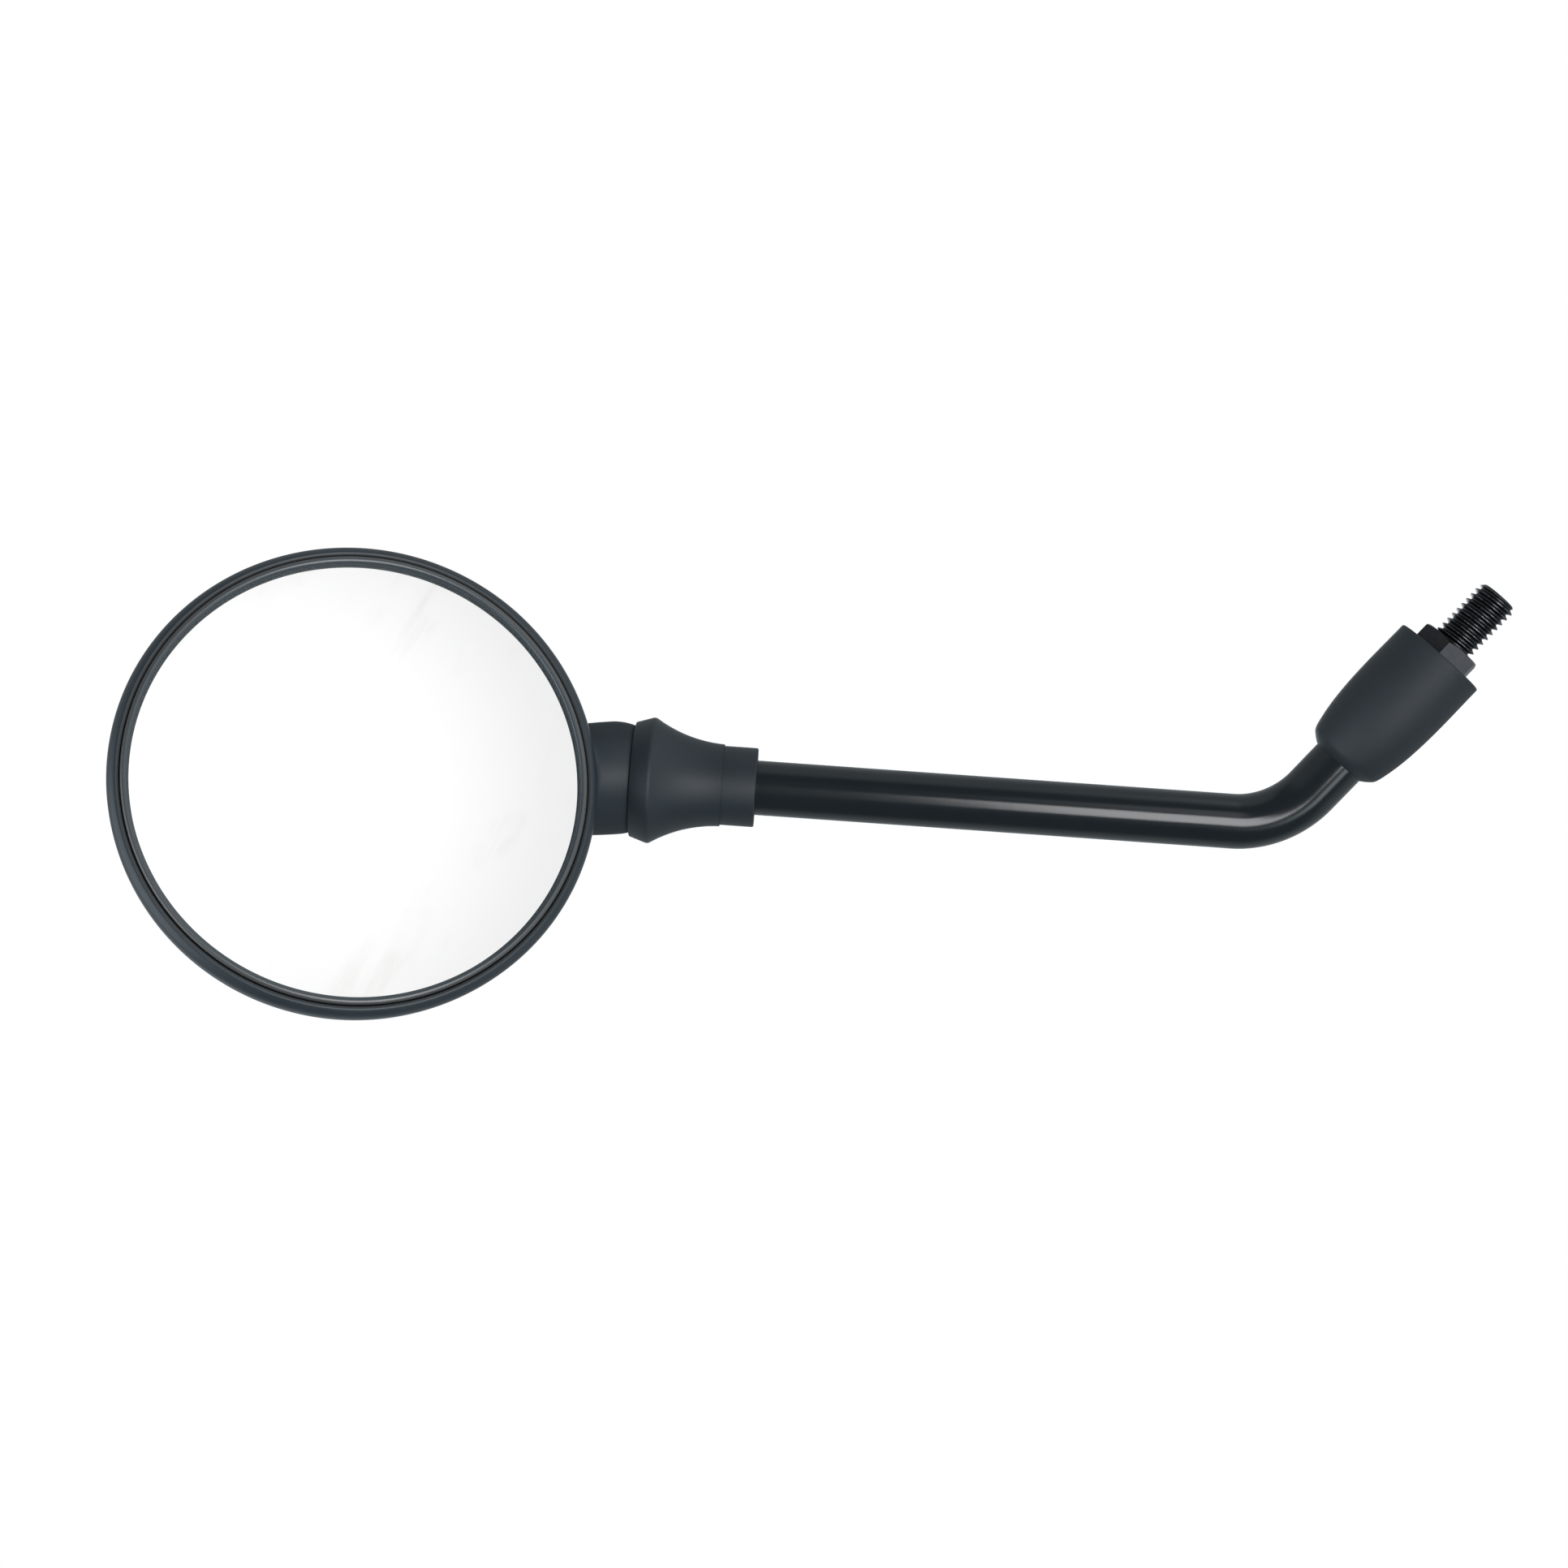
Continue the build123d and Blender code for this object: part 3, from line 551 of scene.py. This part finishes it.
# Stud thread: a sheet of points rolled round the axis, with a ridge that climbs one pitch a turn
def threadMesh():
    sizes = {"outer": 5.0, "root": 4.08, "pitch": 1.5, "top": 1.0, "bottom": 14.8, "tip": 1.0}
    sizes.update({"valley": 0.78, "flank": 0.64, "weld": 0.002, "sides": 120, "rows": 300})
    tree, here, put, names = startTree("studThread", sizes)
    grid = {0: 1.0, 1: 1.0, 2: put["sides"] + 1, 3: put["rows"]}
    sheet = here.add("GeometryNodeMeshGrid", None, grid)
    place = here.add("ShaderNodeSeparateXYZ", None, {0: here.add("GeometryNodeInputPosition")})
    across = place + 0.5
    along = place.other("Y") + 0.5
    height = put["top"] - along * (put["top"] + put["bottom"])
    turns = height / put["pitch"] - across
    swing = turns.calc("ABSOLUTE", turns.calc("FRACT", turns) * 2.0 - 1.0)
    ridge = here.add("ShaderNodeClamp", None, {0: (put["valley"] - swing) / put["flank"]})
    radius = put["root"] + (put["outer"] - put["root"]) * ridge
    radius = radius.least(put["outer"] - put["tip"] + put["bottom"] + height)
    angle = across * (2 * math.pi)
    sideX = radius * angle.calc("COSINE", angle) * mm
    sideY = radius * angle.calc("SINE", angle) * mm
    spot = here.add("ShaderNodeCombineXYZ", None, {0: sideX, 1: sideY, 2: height * mm})
    rolled = here.add("GeometryNodeSetPosition", None, {"Geometry": sheet, "Position": spot})
    weld = {"Geometry": rolled, "Distance": put["weld"] * mm}
    closed = here.add("GeometryNodeMergeByDistance", None, weld)
    return endTree(tree, here, closed, platedSteel, names, sizes)


def buildAdapter():
    look = {"flats": 14.0, "turn": 55.0, "height": 16.0, "chamfer": 0.6, "inset": 0.1}
    look.update({"bore": 5.0, "floor": 4.0, "columns": 96})
    thread = bmesh.new()
    thread.from_mesh(threadMesh())
    openEdges = [edge for edge in thread.edges if edge.is_boundary]
    bmesh.ops.holes_fill(thread, edges=openEdges, sides=0)
    bmesh.ops.recalc_face_normals(thread, faces=thread.faces)
    corner = look["flats"] / 2 / math.cos(math.radians(30))
    face = look["flats"] / 2 - look["inset"]
    body = bmesh.new()
    rings = [[] for level in range(6)]
    for i in range(look["columns"]):
        degrees = i * 360 / look["columns"]
        angle = math.radians(look["turn"] + degrees)
        flat = look["flats"] / 2 / math.cos(math.radians(degrees % 60 - 30))
        rise = look["chamfer"] * (flat - face) / (corner - face)
        column = [(face, 0), (flat, rise), (flat, look["height"] - rise), (face, look["height"])]
        column += [(look["bore"], look["height"]), (look["bore"], look["floor"])]
        for ring, (radius, height) in zip(rings, column):
            spot = Vector((radius * math.cos(angle), radius * math.sin(angle), height)) * mm
            ring.append(body.verts.new(spot))
    underside = [body.verts.new((0, 0, 0))]
    holeFloor = [body.verts.new((0, 0, look["floor"] * mm))]
    fillFaces(body, [underside] + rings + [holeFloor])
    bmesh.ops.recalc_face_normals(body, faces=body.faces)
    mesh = carve(asMesh("hexBody", body), [asMesh("thread", thread)], "UNION")
    return makePiece("adapter", mesh, platedSteel, "base", ["base_adapter"], 24.0)


# Dust cover: a barrel of rubber, open at the hex end
def buildCover():
    look = {"start": 3.9, "end": 37.0, "foot": 11.183, "belly": (11.283, 12.5), "shoulder": (10.753, 27.0)}
    look.update({"crown": (9.753, 32.9), "top": (8.85, 35.2), "lean": 45.0, "bore": 6.55, "hex": 8.533})
    look.update({"neckStart": 24.9, "neckEnd": 26.883, "footRound": 0.4, "footGap": 0.2, "turns": 160})
    lean = math.radians(look["lean"])
    leanWay = (-math.sin(lean), math.cos(lean))
    foot = (look["foot"], look["start"])
    stations = [foot, look["belly"], look["shoulder"], look["crown"], look["top"]]
    flank = smoothLine(stations, (0, 1), leanWay, 0.5)
    line = [(look["hex"], look["start"])]
    line += roundCorner(line[0], foot, (look["foot"], look["start"] + 1), look["footRound"])
    line += [spot for spot in flank if spot[1] > look["start"] + look["footRound"] + look["footGap"]]
    line += tangentArc(look["top"], leanWay, (look["bore"], look["end"]), 10)[0]
    line += [(look["bore"], look["neckEnd"]), (look["hex"], look["neckStart"])]
    mesh = asMesh("dustCover", lathe(line, basePlace, look["turns"]))
    return makePiece("dustCover", mesh, shadedCoverRubber, "stem", ["base_cover"])


# Joint boot: lip, ridge, hollow taper and cuff
def buildBoot():
    look = {"lip": (13.505, 4.4), "lipInner": (12.955, 4.4), "ridge": (14.955, 8.8), "waist": (11.75, 15.0)}
    look.update({"taper": (9.68, 25.4), "cuff": 9.33, "end": 33.4, "bore": 6.55, "grip": 22.4, "wall": 2.1})
    look.update({"lipRound": 0.2, "ridgeRound": 1.4, "ridgeGap": 0.15, "endRound": 0.4, "turns": 224})
    taper = smoothLine([look["ridge"], look["waist"], look["taper"]], None, None, 0.4)
    line = [look["lipInner"]]
    line += roundCorner(look["lipInner"], look["lip"], look["ridge"], look["lipRound"], 5)
    line += roundCorner(look["lip"], look["ridge"], taper[2], look["ridgeRound"], 8)
    line += [spot for spot in taper if spot[1] > line[-1][1] + look["ridgeGap"]]
    line += [(look["cuff"], look["taper"][1])]
    end = (look["cuff"], look["end"])
    inner = (look["bore"], look["end"])
    line += roundCorner(line[-1], end, inner, look["endRound"])
    line += [inner, (look["bore"], look["grip"])]
    line += [(look["waist"][0] - look["wall"], look["waist"][1])]
    line += [(look["ridge"][0] - look["wall"], look["ridge"][1])]
    mesh = asMesh("jointBoot", lathe(line, bootPlace, look["turns"]))
    return makePiece("jointBoot", mesh, bootRubber, "stem", ["joint_boot"])


# Housing: a dished shell with a beaded rim, and a neck that flows out of its flank
housing = {
    "dome": [(0.0, -32.5), (31.0, -28.0), (50.2, -10.5), (52.7, 0.0)],
    "crest": (51.2, 2.8),
    "wall": (50.2, 2.2),
    "slot": [(50.2, -3.6), (49.25, -3.6), (49.25, -2.4), (0.0, -2.4)],
    "hollow": [(47.05, -2.4), (47.0, -10.5), (29.451, -26.3), (0.0, -30.2)],
    "neckRadius": 13.3,
    "neckMouth": 7.0,
    "rootReach": 34.0,
    "rootRadius": 8.5,
    "rootRound": 2.0,
    "rootClear": 0.45,
    "turns": 288,
    "neckTurns": 168,
    "rootRows": 8,
    "neckRows": 21,
    "mouthRows": 14,
}


def rimLine():
    flank, way = tangentArc(housing["dome"][-1], (0, 1), housing["crest"], 10)
    return flank + tangentArc(housing["crest"], way, housing["wall"], 12)[0]


def nearestOnLine(line, spot):  # signed distance, nearest point and its length along the line
    starts, steps = line[:-1], np.diff(line, axis=0)
    sizes = (steps**2).sum(axis=1)
    shares = np.clip(((spot - starts) * steps).sum(axis=1) / sizes, 0, 1)
    spots = starts + shares[:, None] * steps
    gaps = np.linalg.norm(spot - spots, axis=1)
    i = int(gaps.argmin())
    away = spot - spots[i]
    side = -1.0 if steps[i][0] * away[1] - steps[i][1] * away[0] > 0 else 1.0
    length = np.sqrt(sizes[:i]).sum() + shares[i] * math.sqrt(sizes[i])
    return side * gaps[i], spots[i], length


def neckSpot(reach, angle):  # a point of the neck and its outward way, seen from the rim centre
    drop = housing["neckRadius"] - housing["rootRadius"]
    bow = (housing["rootReach"] ** 2 + drop**2) / (2 * drop)
    radius = housing["neckRadius"] - bow + math.sqrt(bow**2 - reach**2)
    spoke = np.array((0.0, math.cos(angle), math.sin(angle)))
    start = np.array((reach - headPose["reach"], 0.0, -headPose["rimOffset"]))
    way = np.array((reach / bow, 0.0, 0.0)) + spoke * math.sqrt(1 - (reach / bow) ** 2)
    return start + spoke * radius, way


def rootAt(line, angle):  # a small ball rolled between neck and dome: where it touches both
    size = housing["rootRound"]
    low, high = 0.0, housing["rootReach"]
    halvings = 40
    for step in range(halvings):
        reach = (low + high) / 2
        spot, way = neckSpot(reach, angle)
        centre = spot + way * size
        beside = np.array((math.hypot(centre[0], centre[1]), centre[2]))
        gap, nearest, length = nearestOnLine(line, beside)
        low, high = (reach, high) if gap > size else (low, reach)
    turn = math.atan2(centre[1], centre[0]) % (2 * math.pi)
    touch = np.array((nearest[0] * math.cos(turn), nearest[0] * math.sin(turn), nearest[1]))
    return {"reach": reach, "spot": spot, "centre": centre, "touch": touch, "turn": turn, "length": length}


def insideLoop(loop, spot):
    inside = False
    for (x0, y0), (x1, y1) in zip(loop, loop[1:] + loop[:1]):
        if (y0 > spot[1]) != (y1 > spot[1]) and spot[0] < (x1 - x0) * (spot[1] - y0) / (y1 - y0) + x0:
            inside = not inside
    return inside


def housingShell():
    turns = housing["turns"]
    dome = smoothLine(housing["dome"], (1, 0), (0, 1), 0.9)
    line = np.array(dome)
    lengths = np.concatenate([[0.0], np.cumsum(np.linalg.norm(np.diff(line, axis=0), axis=1))])
    angles = np.linspace(0, 2 * math.pi, housing["neckTurns"], endpoint=False)
    roots = [rootAt(line, angle) for angle in angles]
    mesh = bmesh.new()

    def add(spot):
        return mesh.verts.new(headPlace @ (Vector(spot) * mm))

    # the flank is opened a few cells wider than the neck's root, and filled up to the root's edge
    scale = housing["dome"][-1][0]
    loop = [((root["turn"] - math.pi) * scale, root["length"]) for root in roots]
    widest = max(abs(u) for u, v in loop) / scale
    reachCells = math.ceil(widest / (2 * math.pi) * turns) + 2
    firstColumn, lastColumn = turns // 2 - reachCells, turns // 2 + reachCells
    firstRow = int(np.searchsorted(lengths, min(v for u, v in loop))) - 3
    lastRow = min(int(np.searchsorted(lengths, max(v for u, v in loop))) + 1, len(dome) - 1)
    loopArray = np.array(loop + loop[:1])

    def openAt(row, column):
        inner = firstRow < row < lastRow and firstColumn < column < lastColumn
        if not inner:
            return False
        spot = ((column - turns // 2) * 2 * math.pi / turns * scale, lengths[row])
        gap = abs(nearestOnLine(loopArray, np.array(spot))[0])
        return insideLoop(loop, spot) or gap < housing["rootClear"]

    outline = dome + rimLine() + housing["slot"]
    rings = []
    for row, (radius, height) in enumerate(outline):
        if radius < 1e-6:
            rings.append([add((0, 0, height))])
            continue
        ring = []
        for column in range(turns):
            turn = column * 2 * math.pi / turns
            kept = not openAt(row, column)
            ring.append(add((radius * math.cos(turn), radius * math.sin(turn), height)) if kept else None)
        rings.append(ring)
    for row, (ring, after) in enumerate(zip(rings, rings[1:])):
        for column in range(turns):
            if firstRow <= row < lastRow and firstColumn <= column < lastColumn:
                continue
            following = (column + 1) % turns
            corners = [ring[column % len(ring)], ring[following % len(ring)]]
            corners += [after[following % len(after)], after[column % len(after)]]
            mesh.faces.new(list(dict.fromkeys(corners)))
    touches = [add(root["touch"]) for root in roots]
    flat, owners = [], []
    for row in range(firstRow, lastRow + 1):
        for column in range(firstColumn, lastColumn + 1):
            if rings[row][column] is None:
                continue
            flat.append(Vector(((column - turns // 2) * 2 * math.pi / turns * scale, lengths[row])))
            owners.append(rings[row][column])
    start = len(flat)
    flat += [Vector(spot) for spot in loop]
    owners += touches
    count = len(loop)
    edges = [(start + i, start + (i + 1) % count) for i in range(count)]
    filled = delaunay_2d_cdt(flat, edges, [], 0, 1e-7)
    spots, faces, origins = filled[0], filled[2], filled[3]
    for face in faces:
        middle = sum((spots[i] for i in face), Vector((0, 0))) / len(face)
        if not insideLoop(loop, middle):
            mesh.faces.new([owners[origins[i][0]] for i in face])

    # root, neck and ball end, ring by ring from the touch line to the mouth
    neckRings = [touches]
    bends = []
    for root in roots:
        first, last = root["touch"] - root["centre"], root["spot"] - root["centre"]
        bends.append(list(slerp(first, last, housing["rootRows"])))
    for step in range(1, housing["rootRows"] + 1):
        neckRings.append([add(root["centre"] + bend[step]) for root, bend in zip(roots, bends)])
    for share in np.linspace(1, 0, housing["neckRows"] + 1)[1:]:
        rowSpots = [neckSpot(root["reach"] * share, angle)[0] for root, angle in zip(roots, angles)]
        neckRings.append([add(spot) for spot in rowSpots])
    mouthTurn = math.asin(housing["neckMouth"] / housing["neckRadius"])
    for turn in np.linspace(0, mouthTurn, housing["mouthRows"] + 1)[1:]:
        ring = []
        for angle in angles:
            radius = housing["neckRadius"] * math.cos(turn)
            reach = -housing["neckRadius"] * math.sin(turn) - headPose["reach"]
            height = radius * math.sin(angle) - headPose["rimOffset"]
            ring.append(add((reach, radius * math.cos(angle), height)))
        neckRings.append(ring)
    neckRings.append([add((-housing["neckMouth"] - headPose["reach"], 0, -headPose["rimOffset"]))])
    fillFaces(mesh, neckRings)
    bmesh.ops.recalc_face_normals(mesh, faces=mesh.faces)
    return mesh


def buildHousing():
    look = {"bore": 8.6, "boreFloor": 14.85, "groove": 9.4, "grooveStart": -6.15, "grooveEnd": -5.1}
    look.update({"boss": 11.0, "bossEnd": 17.25, "core": 9.783, "coreEnd": 6.2, "ribs": 6, "ribWall": 1.6})
    look.update({"ribInner": 8.0, "ribOuter": 37.0, "ribTop": -3.0, "ribFoot": -36.0, "ribTurn": 30.0})
    look.update({"cavityTop": -1.0, "boreMouth": -8.0, "cavityTurns": 144, "boreTurns": 128, "coreTurns": 96})
    hollow = smoothLine(housing["hollow"], (0, -1), (-1, 0), 1.2)
    cavity = [(0.0, look["cavityTop"]), (hollow[0][0], look["cavityTop"])] + hollow
    cavityMesh = asMesh("cavity", lathe(cavity, headPlace, look["cavityTurns"]))
    boss = [(0.0, 0.0), (look["boss"], 0.0), (look["boss"], look["bossEnd"]), (0.0, look["bossEnd"])]
    kept = [asMesh("boss", lathe(boss, neckPlace, look["coreTurns"]))]
    for number in range(look["ribs"]):
        turn = math.radians(look["ribTurn"] + 360 / look["ribs"] * number)
        place = headPlace @ Matrix.Rotation(turn, 4, "Z")
        low = (look["ribInner"], -look["ribWall"] / 2, look["ribFoot"])
        high = (look["ribOuter"], look["ribWall"] / 2, look["ribTop"])
        kept.append(asMesh("rib", box(place, low, high)))
    cavityMesh = carve(cavityMesh, kept, "DIFFERENCE")
    bore = [(0.0, look["boreMouth"]), (look["bore"], look["boreMouth"]), (look["bore"], look["grooveStart"])]
    bore += [(look["groove"], look["grooveStart"]), (look["groove"], look["grooveEnd"])]
    bore += [(look["bore"], look["grooveEnd"]), (look["bore"], look["boreFloor"]), (0.0, look["boreFloor"])]
    core = [(0.0, look["bossEnd"]), (look["core"], look["bossEnd"])]
    core += [(look["coreEnd"], housing["rootReach"]), (0.0, housing["rootReach"])]
    boreMesh = asMesh("bore", lathe(bore, neckPlace, look["boreTurns"]))
    coreMesh = asMesh("core", lathe(core, neckPlace, look["coreTurns"]))
    cuts = [cavityMesh, boreMesh, coreMesh]
    mesh = carve(asMesh("housing", housingShell()), cuts, "DIFFERENCE")
    replaced = ["mirror_housing"]
    return makePiece("housing", mesh, housingPlastic, "head", replaced, 30.0)


# Bezel ring and convex glass
def buildBezel():
    look = {"outer": 50.0, "inner": 48.3, "base": 2.3, "top": 3.3, "under": 1.35, "leg": 49.35, "foot": -3.4}
    look.update({"edgeRound": 0.12, "crownSteps": 28, "turns": 320})
    half = (look["outer"] - look["inner"]) / 2
    rise = look["top"] - look["base"]
    bow = (half**2 + rise**2) / (2 * rise)
    middle = (look["inner"] + half, look["top"] - bow)
    dip = math.asin((look["base"] - middle[1]) / bow)
    line = []
    for turn in np.linspace(dip, math.pi - dip, look["crownSteps"]):
        line.append((middle[0] + bow * math.cos(turn), middle[1] + bow * math.sin(turn)))
    edge, corner = (look["inner"], look["under"]), (look["leg"], look["under"])
    line += roundCorner(line[-1], edge, corner, look["edgeRound"], 4)
    line += [corner, (look["leg"], look["foot"]), (look["outer"], look["foot"])]
    mesh = asMesh("bezel", lathe(line, headPlace, look["turns"]))
    return makePiece("bezel", mesh, bezelPlastic, "head", ["bezel_ring"])


def buildGlass():
    look = {"radius": 49.15, "edge": 1.25, "curve": 1200.0, "thick": 2.0, "bevel": 0.2}
    look.update({"rings": 40, "turns": 288})
    sag = look["curve"] - math.sqrt(look["curve"] ** 2 - look["radius"] ** 2)
    front = []
    for radius in np.linspace(0, look["radius"] - look["bevel"], look["rings"]):
        rise = look["curve"] - math.sqrt(look["curve"] ** 2 - radius**2)
        front.append((float(radius), look["edge"] + sag - rise))
    line = front + [(look["radius"], look["edge"] - look["bevel"])]
    line += [(look["radius"], look["edge"] - look["thick"] + look["bevel"])]
    line += [(radius, height - look["thick"]) for radius, height in reversed(front)]
    mesh = asMesh("glass", lathe(line, headPlace, look["turns"]))
    return makePiece("glass", mesh, mirrorCoat, "head", ["mirror_glass"])


buildStem()
buildAdapter()
buildCover()
buildBoot()
buildHousing()
buildBezel()
buildGlass()


# Solids that keep their own shape and get their finish
finishes = {
    "lock_nut": platedSteel,
    "stem_end": rodSteel,
    "ball_stud": ballSteel,
    "retainer_ring": seatSteel,
    "thrust_seat": seatSteel,
    "snap_ring": springSteel,
    "ball_liner_outer": acetal,
    "ball_liner_inner": acetal,
    "glass_pad": foam,
}
for number in range(1, 5):
    finishes[f"disc_spring_{number}"] = springSteel
for name, material in finishes.items():
    nodes[name].data.materials.clear()
    nodes[name].data.materials.append(material)
print("finishes on", len(finishes), "solids")


# Camera where the photograph was taken from, turned as the object lies there
shot = {
    "spot": (166.0, -462.4, 30.7),
    "right": (-0.7558, 0.0176, -0.6546),
    "down": (-0.6373, -0.2498, 0.7290),
    "lens": 46.58,
    "sensor": 36.0,
    "clip": (0.01, 50.0),
}

right = Vector(shot["right"]).normalized()
ahead = right.cross(Vector(shot["down"])).normalized()
upward = right.cross(ahead)
cameraData = bpy.data.cameras.new("camera")
cameraData.lens = shot["lens"]
cameraData.sensor_width = shot["sensor"]
cameraData.clip_start, cameraData.clip_end = shot["clip"]
camera = bpy.data.objects.new("camera", cameraData)
turn = Matrix((right, upward, -ahead)).transposed().to_4x4()
turn.translation = Vector(shot["spot"]) * mm
camera.matrix_world = turn
bpy.context.scene.collection.objects.link(camera)
bpy.context.scene.camera = camera


# Studio: a white surround for the camera, cards and dim walls for gloss, soft lamps and a pale floor
studio = {"ambient": 0.34, "walls": 0.18, "tint": (0.88, 0.955, 1, 1)}
studio.update({"floorGlow": 0.70, "floorEdge": (0.86, 0.94)})

# patches that only gloss shows: way as (right, up, toward the camera), soft edge as cosines, level
backdrop = {"way": (0, 0, -1), "edge": (-0.10, 0.35), "level": 0.52}
rearCard = {"way": (0, 0, -1), "edge": (0.950, 0.975), "level": 2.2}  # for the views from behind
glassCard = {"way": (0.358, 0.423, 0.833), "edge": (0.9745, 0.9795), "level": 0.90}  # white in the glass
glassGlow = {"way": (0.29, 0.42, 0.86), "edge": (0.966, 0.998), "level": 0.18}
cards = {
    "ceiling": {"way": (0, 1, 0), "edge": (0.84, 0.98), "level": 0.42},
    "leftWall": {"way": (-1, 0, 0), "edge": (0.50, 0.85), "level": 0.34},
    "rightWall": {"way": (1, 0, 0), "edge": (0.50, 0.85), "level": 0.58},
    "leftPanel": {"way": (-0.90, -0.25, 0.36), "edge": (0.80, 0.92), "level": 1.8},
    "lowLeft": {"way": (-0.591, -0.342, 0.730), "edge": (0.93, 0.98), "level": 1.2},
    "lowRight": {"way": (0.400, -0.484, 0.777), "edge": (0.980, 0.992), "level": 3.4},
}


def studioWay(rightward, rise, toward):
    return (right * rightward + upward * rise - ahead * toward).normalized()


def patchOf(way, patch):
    return way.dot(studioWay(*patch["way"])).ramp(*patch["edge"])


def buildWorld():
    world = bpy.data.worlds.new("studio")
    world.use_nodes = True
    world.node_tree.nodes.clear()
    here = Wire(world.node_tree)
    way = here.add("ShaderNodeTexCoord", None, None, "Generated")
    seen = here.add("ShaderNodeLightPath", None, None, "Is Camera Ray")
    shiny = seen.other("Is Glossy Ray").most(seen.other("Is Transmission Ray"))
    below = way.dot((0, 0, -1)).ramp(*studio["floorEdge"])
    walls = studio["walls"] + below * studio["floorGlow"]
    for card in cards.values():
        walls = walls + patchOf(way, card) * card["level"]
    glass = patchOf(way, glassCard)
    white = patchOf(way, glassGlow) * glassGlow["level"] + glassCard["level"]
    gloss = walls + patchOf(way, backdrop) * (backdrop["level"] - walls) + glass * (white - walls)
    gloss = gloss + patchOf(way, rearCard) * rearCard["level"]
    level = studio["ambient"] + shiny * (gloss - studio["ambient"])
    level = seen + (1 - seen) * level
    tint = ((1 - glass) * shiny).blend((1, 1, 1, 1), studio["tint"])
    shine = here.add("ShaderNodeBackground", None, {"Color": tint, "Strength": level})
    here.add("ShaderNodeOutputWorld", None, {"Surface": shine})
    bpy.context.scene.world = world


# the floor keeps the shadow and fades to white; gloss shows its glow from the world instead
floorLook = {"drop": 0.9, "size": 14.0, "pale": (0.9, 0.9, 0.9, 1), "near": 0.75, "farEdge": (0.6, 1.6)}


def buildFloor():
    size, drop = floorLook["size"], floorLook["drop"]
    corners = [(-size, -size, -drop), (size, -size, -drop), (size, size, -drop), (-size, size, -drop)]
    mesh = bpy.data.meshes.new("floor")
    mesh.from_pydata(corners, [], [(0, 1, 2, 3)])
    material, here, spots = startMaterial("paleFloor")
    seen = here.add("ShaderNodeLightPath", None, None, "Is Camera Ray")
    far = spots.fromAxis((0, 0, 0), (0, 0, 1)).ramp(*floorLook["farEdge"])
    matte = here.add("ShaderNodeBsdfDiffuse", None, {"Color": floorLook["pale"]})
    white = here.add("ShaderNodeEmission", None, {"Color": (1, 1, 1, 1), "Strength": 1.0})
    share = seen * (floorLook["near"] + far * (1 - floorLook["near"]))
    mixed = here.add("ShaderNodeMixShader", None, {0: share, 1: matte, 2: white})
    here.add("ShaderNodeOutputMaterial", None, {"Surface": mixed})
    mesh.materials.append(material)
    floor = bpy.data.objects.new("floor", mesh)
    bpy.context.scene.collection.objects.link(floor)
    floor.visible_glossy = False


# lamps: away is their place from the middle of the part, in metres
keyAway = studioWay(0.327, -0.087, 0.941) * 1.1
lamps = {
    "keyLamp": {"away": keyAway, "size": (0.42, 0.60), "watts": 6.0, "gloss": True},
    "fillLamp": {"away": Vector((0.1, 0.5, 0.9)), "size": (0.8, 0.8), "watts": 3.0, "gloss": False},
}


def addLamp(name, look):
    lamp = bpy.data.lights.new(name, "AREA")
    lamp.shape = "RECTANGLE"
    lamp.size, lamp.size_y = look["size"]
    lamp.energy = look["watts"]
    holder = bpy.data.objects.new(name, lamp)
    holder.matrix_world = placeAlong((cadLow + cadHigh) / 2 + look["away"], look["away"], right)
    holder.visible_camera = False
    holder.visible_glossy = look["gloss"]  # in gloss, the fill would draw a pale line on the rim
    bpy.context.scene.collection.objects.link(holder)


buildWorld()
buildFloor()
for name, look in lamps.items():
    addLamp(name, look)
bpy.context.scene.view_settings.view_transform = "Standard"
print("studio ready")
